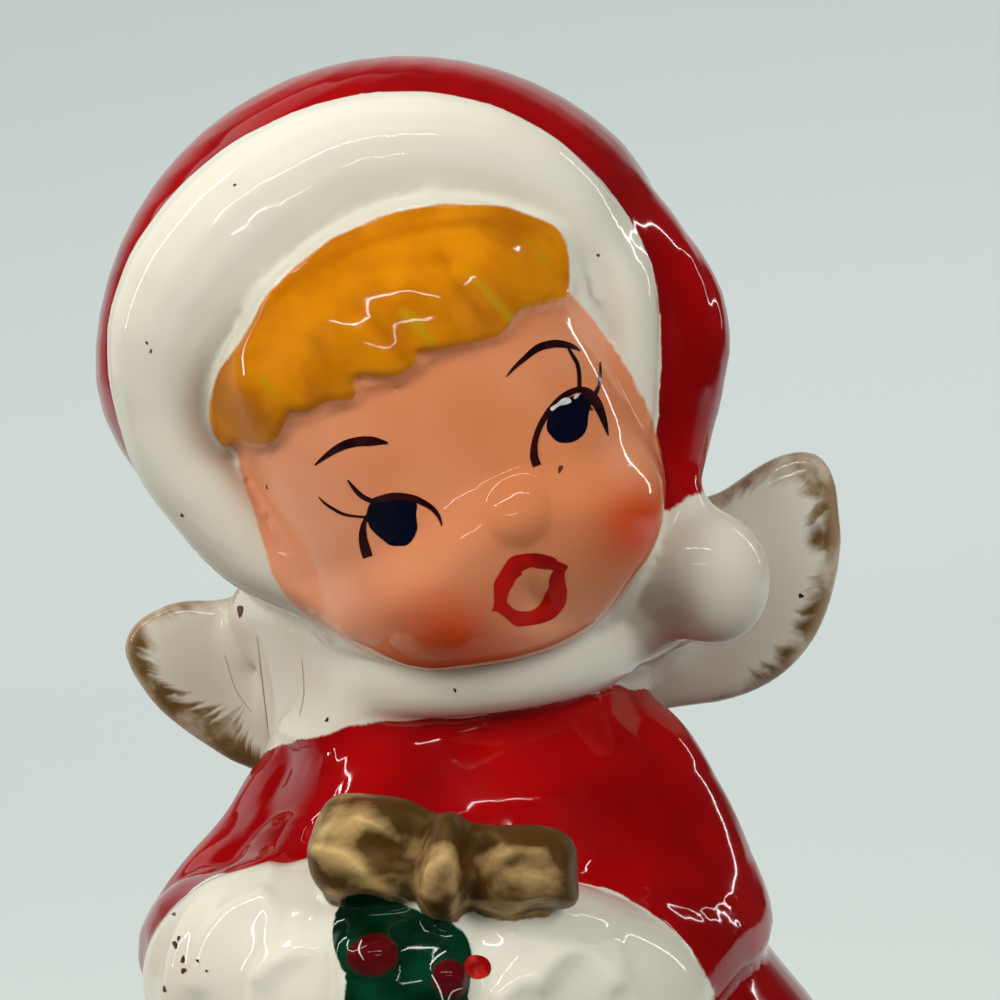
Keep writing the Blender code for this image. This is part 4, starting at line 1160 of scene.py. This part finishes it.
class Nodes:
    """Short calls that build a node material."""

    def __init__(self, name):
        self.material = bpy.data.materials.new(name)
        self.material.use_nodes = True
        self.tree = self.material.node_tree
        self.shader = self.tree.nodes["Principled BSDF"]

    def new(self, kind, **settings):
        node = self.tree.nodes.new(kind)
        for key, value in settings.items():
            setattr(node, key, value)
        return node

    def plug(self, value, socket):
        if isinstance(value, bpy.types.NodeSocket):
            self.tree.links.new(value, socket)
        elif isinstance(value, tuple):
            socket.default_value = value + (1.0,)
        else:
            socket.default_value = value

    def place(self):
        return self.new("ShaderNodeTexCoord").outputs["Object"]

    def field(self, name):
        return self.new("ShaderNodeAttribute", attribute_name=name).outputs["Fac"]

    def math(self, operation, first, second):
        node = self.new("ShaderNodeMath", operation=operation)
        self.plug(first, node.inputs[0])
        self.plug(second, node.inputs[1])
        return node.outputs[0]

    def add(self, first, second):
        return self.math("ADD", first, second)

    def times(self, first, second):
        return self.math("MULTIPLY", first, second)

    def step(self, value, low, high, start=0.0, end=1.0):
        node = self.new("ShaderNodeMapRange", interpolation_type="SMOOTHSTEP")
        self.plug(value, node.inputs[0])
        for index, number in enumerate((low, high, start, end)):
            self.plug(number, node.inputs[index + 1])
        return node.outputs[0]

    def noise(self, scale, detail=2.0, vector=None, rough=0.5):
        node = self.new("ShaderNodeTexNoise")
        self.plug(self.place() if vector is None else vector, node.inputs["Vector"])
        node.inputs["Scale"].default_value = scale
        node.inputs["Detail"].default_value = detail
        node.inputs["Roughness"].default_value = rough
        return node.outputs["Fac"]

    def stretch(self, scale):
        node = self.new("ShaderNodeMapping")
        self.plug(self.place(), node.inputs["Vector"])
        node.inputs["Scale"].default_value = scale
        return node.outputs[0]

    def mix(self, share, first, second):
        node = self.new("ShaderNodeMix", data_type="RGBA")
        self.plug(share, node.inputs[0])
        self.plug(first, node.inputs[6])
        self.plug(second, node.inputs[7])
        return node.outputs[2]

    def bump(self, height, distance, strength=1.0):
        node = self.new("ShaderNodeBump")
        node.inputs["Strength"].default_value = strength
        node.inputs["Distance"].default_value = distance
        self.plug(height, node.inputs["Height"])
        return node.outputs[0]

    def finish(self, colour, roughness, metallic=0.0, normal=None):
        self.plug(colour, self.shader.inputs["Base Color"])
        self.plug(roughness, self.shader.inputs["Roughness"])
        self.plug(metallic, self.shader.inputs["Metallic"])
        self.shader.inputs["IOR"].default_value = GLAZE_IOR
        if normal is not None:
            self.plug(normal, self.shader.inputs["Normal"])
        return self.material


def distance_fields(mesh, forms):
    """For each vertex, its distance in millimetres to the forms of each glaze."""
    fields = {}
    for glaze in dict.fromkeys(kind for _, kind in forms.parts):
        tree = surface_tree(*(part for part, kind in forms.parts if kind == glaze))
        values = [tree.find_nearest(vertex.co)[3] for vertex in mesh.vertices]
        fields[glaze] = np.array(values, dtype=np.float32) / MM
    return fields


def store(mesh, name, values):
    attribute = mesh.attributes.new(name, "FLOAT", "POINT")
    attribute.data.foreach_set("value", np.asarray(values, dtype=np.float32))


def softened(mesh, values, rounds):
    """The values after each vertex has taken the mean of its neighbours a few times."""
    count = len(mesh.edges)
    ends = np.empty(count * 2, dtype=np.int64)
    mesh.edges.foreach_get("vertices", ends)
    first, second = ends[0::2], ends[1::2]
    size = len(mesh.vertices)
    weight = 1.0 + np.bincount(first, minlength=size) + np.bincount(second, minlength=size)
    for _ in range(rounds):
        total = values + np.bincount(first, values[second], size) + np.bincount(second, values[first], size)
        values = total / weight
    return values


def pixels_of(places):
    """The view's columns and rows of many points."""
    offset = places - np.array(VIEW_TARGET)
    scale = VIEW_DISTANCE / (VIEW_DISTANCE - offset @ np.array(BACK)) / PIXEL
    return 500.0 + scale * (offset @ np.array(RIGHT)), 500.0 - scale * (offset @ np.array(UP))


def dabs(columns, rows, spots):
    """Soft dabs of paint: each spot has a column, row, half width, half height and strength."""
    total = np.zeros(len(columns))
    for column, row, wide, tall, strength in spots:
        total = total + strength * np.exp(-(((columns - column) / wide) ** 2 + ((rows - row) / tall) ** 2))
    return total


def away(columns, rows, start, end):
    """How many pixels each point lies from a line between two pixels."""
    run_x, run_y = end[0] - start[0], end[1] - start[1]
    length = max(run_x * run_x + run_y * run_y, 1.0e-6)
    share = np.clip(((columns - start[0]) * run_x + (rows - start[1]) * run_y) / length, 0.0, 1.0)
    return np.hypot(columns - start[0] - share * run_x, rows - start[1] - share * run_y)


def drawn(columns, rows, lines):
    """Soft strokes: each line has a width, a strength and its knots of column and row."""
    total = np.zeros(len(columns))
    for width, strength, knots in lines:
        best = np.full(len(columns), 1.0e9)
        line = smooth_line(knots, 5)
        for start, end in zip(line[:-1], line[1:]):
            best = np.minimum(best, away(columns, rows, start, end))
        total = total + strength * np.exp(-((best / width) ** 2))
    return total


def depth_in(columns, rows, outline):
    """How many pixels inside an outline each point lies, below nought outside it."""
    ring = smooth_line(outline, 3, closed=True)
    best = np.full(len(columns), 1.0e9)
    within = np.zeros(len(columns), dtype=bool)
    for start, end in zip(ring, ring[1:] + ring[:1]):
        best = np.minimum(best, away(columns, rows, start, end))
        if start[1] != end[1]:
            crossed = (start[1] > rows) != (end[1] > rows)
            slope = (end[0] - start[0]) / (end[1] - start[1])
            within ^= crossed & (columns < start[0] + (rows - start[1]) * slope)
    return np.where(within, best, -best)


def vertex_values(mesh, name):
    values = np.empty(len(mesh.vertices) * 3, dtype=np.float32)
    mesh.vertices.foreach_get(name, values)
    return values.reshape(-1, 3).astype(float)


def nearness(places):
    """One on the half of the figure that is nearer to the camera, nought behind it."""
    depth = (places - np.array(VIEW_TARGET)) @ np.array(BACK)
    return np.clip((depth / MM - 2.0) / 3.0, 0.0, 1.0)


def eased(values, low, high):
    share = np.clip((values - low) / (high - low), 0.0, 1.0)
    return share * share * (3.0 - 2.0 * share)


def shape_to(mesh, places):
    mesh.vertices.foreach_set("co", places.astype(np.float32).ravel())
    mesh.update()


def reshape(mesh):
    """Settles the bow and berries, softens webs and creases, then raises the low relief."""
    places = vertex_values(mesh, "co")
    columns, rows = pixels_of(places)
    near = nearness(places)
    for column, row, wide, tall, across, down in NUDGES:
        share = dabs(columns, rows, ((column, row, wide, tall, 1.0),)) * near * PIXEL
        places = places + np.outer(share * across, np.array(RIGHT)) - np.outer(share * down, np.array(UP))
    columns, rows = pixels_of(places)
    hair = depth_in(columns, rows, HAIR_EDGE)
    spots = np.clip(dabs(columns, rows, SOFT_SPOTS), 0.0, 1.0)
    for share, rounds in ((eased(hair, *HAIR_SOFT_EDGE) * near, HAIR_ROUNDS), (spots, SOFT_ROUNDS)):
        smooth = np.stack([softened(mesh, places[:, axis], rounds) for axis in range(3)], axis=1)
        places = places + share[:, None] * (smooth - places)
    shape_to(mesh, places)
    muzzle = MUZZLE_RISE * eased(depth_in(columns, rows, MUZZLE_EDGE), *MUZZLE_FADE)
    rise = muzzle + dabs(columns, rows, FACE_RELIEF)
    rise = rise * eased(depth_in(columns, rows, FLESH_EDGE), *FACE_FADE)
    rise = rise + drawn(columns, rows, RIDGES)
    rise = rise + HAIR_RISE * eased(hair, *HAIR_FADE)
    shape_to(mesh, places + vertex_values(mesh, "normal") * (rise * near * MM)[:, None])


def paint_fields(mesh, fields):
    """Stores where each glaze lies, in millimetres inside its edge, and the painted tones."""
    places = vertex_values(mesh, "co")
    columns, rows = pixels_of(places)
    near = nearness(places)
    outlines = {"green": LEAF_EDGE, "flesh": FLESH_EDGE}
    below = fields["white_glaze"]
    for glaze in ("red_glaze", "flesh_paint", "green_glaze", "berry_glaze", "gold_lustre"):
        name = glaze.split("_")[0]
        values = below - fields[glaze]
        if name in outlines:
            values = np.where(near > 0.0, depth_in(columns, rows, outlines[name]) * PIXEL / MM, values)
        if name == "red":
            values = values + dabs(columns, rows, RED_SHIFTS)
        store(mesh, name, softened(mesh, values, 3))
        below = np.minimum(below, fields[glaze])
    store(mesh, "hair", np.where(near > 0.0, depth_in(columns, rows, HAIR_EDGE) * PIXEL / MM, -3.0))
    store(mesh, "blush", np.clip(dabs(columns, rows, BLUSH_SPOTS), 0.0, 1.0) * near)
    # Painted light on the flesh
    store(mesh, "flesh_painted_light", dabs(columns, rows, FLESH_PAINTED_LIGHT_SPOTS) * near)
    store(mesh, "hair_tone", drawn(columns, rows, HAIR_STROKES) * near)
    # Painted highlights and painted shade on the bow
    store(mesh, "bow_highlight_shade", drawn(columns, rows, BOW_PAINTED_LIGHT_AND_SHADE) * near)
    # Painted shade on the white glaze
    store(mesh, "painted_shade", np.clip(dabs(columns, rows, PAINTED_SHADE_SPOTS), 0.0, 1.0))
    store(mesh, "wing_dab", dabs(columns, rows, WING_DABS))
    wing_in = np.full(len(places), OFF_WING)
    wing_turn = np.zeros(len(places))
    wing_brush = np.zeros(len(places))
    for side, centre, size, shape, brush in WINGS:
        offset = (places - np.array(centre)) / MM
        across = offset[:, 0] * side
        along = offset[:, 2]
        angle = np.arctan2(along, across)
        outline = spaced_outline([size * share / MM for share in shape])
        reach = spaced_outline(brush)
        edge = np.array([outline(value) for value in angle]) - np.hypot(across, along)
        on_wing = (across > WING_ROOT) & (np.abs(offset[:, 1]) < WING_HALF)
        on_wing = on_wing & (edge > WING_OVERHANG) & (edge < OFF_WING)
        wing_in = np.where(on_wing, edge, wing_in)
        wing_turn = np.where(on_wing, angle * 10.0 + 40.0 * side, wing_turn)
        wing_brush = np.where(on_wing, [reach(value) for value in angle], wing_brush)
    store(mesh, "wing_in", wing_in)
    store(mesh, "wing_turn", wing_turn)
    store(mesh, "wing_brush", wing_brush)


def glaze_skin_material():
    nodes = Nodes("glazed_figure")
    wave = nodes.math("SUBTRACT", nodes.noise(420.0, 3.0), 0.5)
    grain = nodes.math("SUBTRACT", nodes.noise(2400.0, 2.0), 0.5)

    def mask(name, wander, soft):
        value = nodes.add(nodes.field(name), nodes.times(wave, wander))
        value = nodes.add(value, nodes.times(grain, 0.35 * wander))
        return nodes.step(value, -soft, soft)

    cloud = nodes.noise(90.0, 3.0)
    fine = nodes.noise(900.0, 4.0, rough=0.65)
    white = nodes.mix(cloud, WHITE_WARM, WHITE_COOL)
    # Painted shade darkens and warms the white glaze, a little unevenly
    painted_shade = nodes.times(nodes.field("painted_shade"), nodes.step(cloud, 0.2, 0.8, 0.7, 1.0))
    white = nodes.mix(painted_shade, white, WHITE_PAINTED_SHADE)
    red = nodes.mix(nodes.step(cloud, 0.3, 0.7), RED_DEEP, RED_BRIGHT)
    # Painted light and random tone lift the flesh from its deep tone
    tone = nodes.add(nodes.field("flesh_painted_light"), nodes.step(nodes.noise(130.0, 2.0), 0.3, 0.7, 0.0, 0.25))
    flesh = nodes.mix(tone, FLESH_DEEP, FLESH_PALE_AND_LIT)
    flesh = nodes.mix(nodes.times(nodes.field("blush"), 0.95), flesh, BLUSH)
    hair = nodes.mix(nodes.step(nodes.noise(200.0, 3.0), 0.3, 0.7), HAIR_DEEP, HAIR_BRIGHT)
    tone = nodes.add(nodes.field("hair_tone"), nodes.times(wave, 0.6))
    hair = nodes.mix(nodes.step(tone, -0.1, -1.0), hair, HAIR_BROWN)
    hair = nodes.mix(nodes.step(tone, 0.25, 1.1), hair, HAIR_OLIVE)
    green = nodes.mix(nodes.step(nodes.noise(260.0, 4.0), 0.35, 0.7), GREEN_DEEP, GREEN_BRIGHT)
    berry = nodes.mix(fine, BERRY_DEEP, BERRY_BRIGHT)
    brushed = nodes.noise(1.0, 4.0, nodes.stretch((420.0, 900.0, 700.0)))
    # Painted highlights and painted shade on the bow, over its brushed grain
    tone = nodes.add(nodes.field("bow_highlight_shade"), nodes.step(brushed, 0.25, 0.75, -0.1, 0.55))
    gold = nodes.mix(tone, GOLD_DEEP_AND_SHADE, GOLD_BRIGHT_AND_HIGHLIGHT)
    colour = white
    colour = nodes.mix(mask("red", 0.5, 0.10), colour, red)
    colour = nodes.mix(mask("flesh", 0.15, 0.15), colour, flesh)
    colour = nodes.mix(mask("hair", 0.35, 0.12), colour, hair)
    bow = mask("gold", 0.35, 0.12)
    leaf = mask("green", 0.35, 0.10)
    colour = nodes.mix(bow, colour, gold)
    colour = nodes.mix(leaf, colour, green)
    colour = nodes.mix(mask("berry", 0.4, 0.15), colour, berry)
    bow = nodes.times(bow, nodes.math("SUBTRACT", 1.0, leaf))
    streak = nodes.new("ShaderNodeTexNoise", noise_dimensions="1D")
    nodes.plug(nodes.add(nodes.field("wing_turn"), nodes.times(wave, 2.2)), streak.inputs["W"])
    streak.inputs["Scale"].default_value = 0.8
    streak.inputs["Detail"].default_value = 3.0
    length = nodes.step(streak.outputs["Fac"], 0.25, 0.75, 0.62, 1.12)
    reach = nodes.times(nodes.field("wing_brush"), length)
    reach = nodes.add(reach, nodes.times(wave, 1.2))
    edge = nodes.math("SUBTRACT", reach, nodes.field("wing_in"))
    patch = nodes.noise(330.0, 4.0)
    worn = nodes.step(patch, 0.30, 0.56, 0.35, 1.0)
    rim = nodes.times(nodes.step(edge, -0.6, 1.0), worn)
    line = nodes.step(nodes.field("wing_in"), 0.6, 0.1)
    line = nodes.times(line, nodes.step(nodes.field("wing_brush"), 0.0, 0.6, 0.0, 0.7))
    rim = nodes.math("MAXIMUM", rim, line)
    dab = nodes.add(nodes.field("wing_dab"), nodes.times(wave, 0.5))
    rim = nodes.math("MAXIMUM", rim, nodes.step(dab, 0.2, 0.9))
    tan = nodes.mix(nodes.step(patch, 0.35, 0.65), WING_GOLD, WING_GOLD_DEEP)
    tan = nodes.mix(nodes.step(nodes.field("wing_in"), 1.3, 0.3, 0.0, 0.8), tan, WING_RIM)
    colour = nodes.mix(rim, colour, tan)
    metal = nodes.math("MAXIMUM", nodes.times(bow, 0.5), nodes.times(rim, 0.15))
    rough = nodes.add(0.06, nodes.times(metal, 0.7))
    height = nodes.add(nodes.noise(140.0, 2.0), nodes.times(brushed, nodes.times(bow, 0.2)))
    return nodes.finish(colour, rough, metal, nodes.bump(height, GLAZE_WAVE, 0.6))


def plain_material(name):
    deep, bright, roughness, scale = PAINTS[name]
    nodes = Nodes(name)
    colour = nodes.mix(nodes.step(nodes.noise(scale, 3.0), 0.35, 0.65), deep, bright)
    return nodes.finish(colour, roughness, 0.0, nodes.bump(nodes.noise(1200.0, 2.0), PAINT_WAVE))


def cut_foot(mesh):
    """Cuts the skin flat at the foot and closes it round the vent hole."""
    work = opened(mesh)
    geometry = work.verts[:] + work.edges[:] + work.faces[:]
    bmesh.ops.bisect_plane(work, geom=geometry, plane_co=(0, 0, 0), plane_no=(0, 0, 1), clear_inner=True)
    rim = [edge for edge in work.edges if edge.is_boundary]
    ring = []
    for angle in turns(VENT_STEPS):
        place = (VENT_RADIUS * math.cos(angle), VENT_BACK + VENT_RADIUS * math.sin(angle), 0.0)
        ring.append(work.verts.new(place))
    hole = [work.edges.new((ring[index - 1], ring[index])) for index in range(VENT_STEPS)]
    filled = bmesh.ops.triangle_fill(work, use_beauty=True, edges=rim + hole, normal=(0, 0, -1))
    for face in filled["geom"]:
        if isinstance(face, bmesh.types.BMFace):
            face.material_index = 1
            face.smooth = False
            if face.normal.z > 0.0:
                face.normal_flip()
    top = [work.verts.new((vertex.co.x, vertex.co.y, VENT_DEPTH)) for vertex in ring]
    walls = [(ring[index - 1], top[index - 1], top[index], ring[index]) for index in range(VENT_STEPS)]
    for corners in walls + [list(reversed(top))]:
        work.faces.new(corners).material_index = 1
    closed_into(mesh, work)


def make_figure():
    forms = Forms()
    for add in (
        add_coat, add_collar, add_neck, add_arms, add_muff, add_bow,
        add_holly, add_head, add_trim, add_hair, add_tail, add_wings,
    ):
        add(forms)
    mesh = fused_mesh("angel_glaze", [part[0] for part in forms.parts])
    fields = distance_fields(mesh, forms)
    reshape(mesh)
    paint_fields(mesh, fields)
    mesh.shade_smooth()
    mesh.materials.append(glaze_skin_material())
    mesh.materials.append(plain_material("bare_foot"))
    cut_foot(mesh)
    figure = add_piece("angel_glaze", mesh)
    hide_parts("angel_figurine")
    return mesh


def paint_face(painter):
    paint = {name: plain_material(name) for name in PAINTS if name != "bare_foot"}
    painter.film("left_iris", LEFT_IRIS, paint["iris_paint"])
    painter.film("right_iris", RIGHT_IRIS, paint["iris_paint"])
    painter.film("lips", LIPS_OUTER, paint["lip_paint"], holes=(LIPS_INNER,))
    for name, knots in LINES.items():
        painter.stroke(name, knots, paint["line_paint"], lift=1.3 * PAINT_LIFT)
    for name, outline in CHIPS.items():
        painter.film(name, outline, paint["bare_chip"], lift=1.8 * PAINT_LIFT, spacing=2.0)
    painter.film("berry_dab", BERRY_DAB, paint["red_dab"], spacing=2.0)
    for index, (column, row, size) in enumerate(SPECKS):
        outline = []
        for corner in range(5):
            angle = 2.4 * index + 1.2566 * corner
            reach = size * (0.55 + 0.25 * math.sin(3.1 * index + 2.3 * corner))
            outline.append((column + reach * math.cos(angle), row + 1.3 * reach * math.sin(angle)))
        painter.film("speck_%d" % index, outline, paint["red_speck"], spacing=2.0, smooth=2)
    for index, knots in enumerate(WHITE_RIMS):
        painter.stroke("white_rim_%d" % index, knots, paint["white_rim"], steps=8)
    for index, knots in enumerate(CRAZES):
        painter.stroke("craze_%d" % index, knots, paint["craze_line"], steps=8)


def make_backdrop():
    """A pale sweep: a floor that turns up into a wall behind the figure."""
    profile = [(FLOOR_FRONT, 0.0)]
    for index in range(BACKDROP_STEPS + 1):
        angle = 0.5 * math.pi * index / BACKDROP_STEPS
        depth = BACKDROP_BEND_START + BACKDROP_BEND * math.sin(angle)
        profile.append((depth, BACKDROP_BEND * (1.0 - math.cos(angle))))
    profile.append((BACKDROP_BEND_START + BACKDROP_BEND, BACKDROP_TOP))
    places = []
    faces = []
    for index, (depth, height) in enumerate(profile):
        places.extend([(BACKDROP_LEFT, depth, height), (BACKDROP_RIGHT, depth, height)])
        if index:
            base = 2 * index
            faces.append((base - 2, base - 1, base + 1, base))
    mesh = bpy.data.meshes.new("backdrop")
    mesh.from_pydata(places, [], faces)
    mesh.shade_smooth()
    nodes = Nodes("backdrop")
    path = nodes.new("ShaderNodeLightPath")
    seen = nodes.math("MAXIMUM", path.outputs["Is Camera Ray"], path.outputs["Is Glossy Ray"])
    split = nodes.new("ShaderNodeSeparateXYZ")
    nodes.plug(nodes.place(), split.inputs[0])
    # The glow is painted light, graded from floor to wall, fading into painted shade at the ends and at the
    # front
    tone = nodes.mix(nodes.step(split.outputs["Y"], 0.15, 0.60), BACKDROP_LOW, BACKDROP_MIDDLE)
    tone = nodes.mix(nodes.step(split.outputs["Z"], 0.02, 0.16), tone, BACKDROP_HIGH)
    tone = nodes.mix(nodes.step(split.outputs["Y"], -0.08, 0.14), FLOOR_FRONT_PAINTED_SHADE, tone)
    for axis, fade in (("X", BACKDROP_FADE_RIGHT), ("X", BACKDROP_FADE_LEFT), ("Z", BACKDROP_FADE_TOP)):
        tone = nodes.mix(nodes.step(split.outputs[axis], *fade), tone, FLOOR_FRONT_PAINTED_SHADE)
    nodes.finish(tone, 0.9)
    nodes.plug(tone, nodes.shader.inputs["Emission Color"])
    nodes.plug(nodes.times(seen, BACKDROP_PAINTED_GLOW), nodes.shader.inputs["Emission Strength"])
    mesh.materials.append(nodes.material)
    backdrop = linked("backdrop", mesh)


def make_light():
    world = bpy.data.worlds.new("studio")
    bpy.context.scene.world = world
    world.use_nodes = True
    tree = world.node_tree
    sky = tree.nodes["Background"]
    place = tree.nodes.new("ShaderNodeTexCoord")
    aim = tree.nodes.new("ShaderNodeVectorMath")
    aim.operation = "DOT_PRODUCT"
    aim.inputs[1].default_value = WORLD_BRIGHT_SIDE
    fall = tree.nodes.new("ShaderNodeMapRange")
    fall.interpolation_type = "SMOOTHSTEP"
    tree.links.new(place.outputs["Generated"], aim.inputs[0])
    tree.links.new(aim.outputs["Value"], fall.inputs[0])
    for index, value in enumerate((WORLD_DARK_EDGE, WORLD_BRIGHT_EDGE, WORLD_DARK, WORLD_BRIGHT)):
        fall.inputs[index + 1].default_value = value
    sky.inputs[0].default_value = WORLD_COLOUR + (1.0,)
    tree.links.new(fall.outputs[0], sky.inputs[1])
    for name, place, size, power, colour, mirrored in LAMPS:
        data = bpy.data.lights.new(name, "AREA")
        data.shape = "RECTANGLE"
        data.size = size[0]
        data.size_y = size[1]
        data.energy = power
        data.color = colour
        light = linked(name, data)
        light.location = place
        light.rotation_euler = (Vector(LAMP_TARGET) - Vector(place)).to_track_quat("-Z", "Y").to_euler()
        light.visible_glossy = mirrored


def make_camera():
    data = bpy.data.cameras.new("camera")
    data.sensor_width = SENSOR_WIDTH
    data.lens = SENSOR_WIDTH * VIEW_DISTANCE / VIEW_WIDTH
    data.clip_start = 0.01
    camera = linked("camera", data)
    camera.matrix_world = Matrix((
        (RIGHT.x, UP.x, BACK.x, EYE.x),
        (RIGHT.y, UP.y, BACK.y, EYE.y),
        (RIGHT.z, UP.z, BACK.z, EYE.z),
        (0.0, 0.0, 0.0, 1.0),
    ))
    bpy.context.scene.camera = camera


make_camera()
skin_mesh = make_figure()
paint_face(Painter(skin_mesh))
make_backdrop()
make_light()
bpy.context.scene.view_settings.view_transform = "Standard"
bpy.context.view_layer.update()
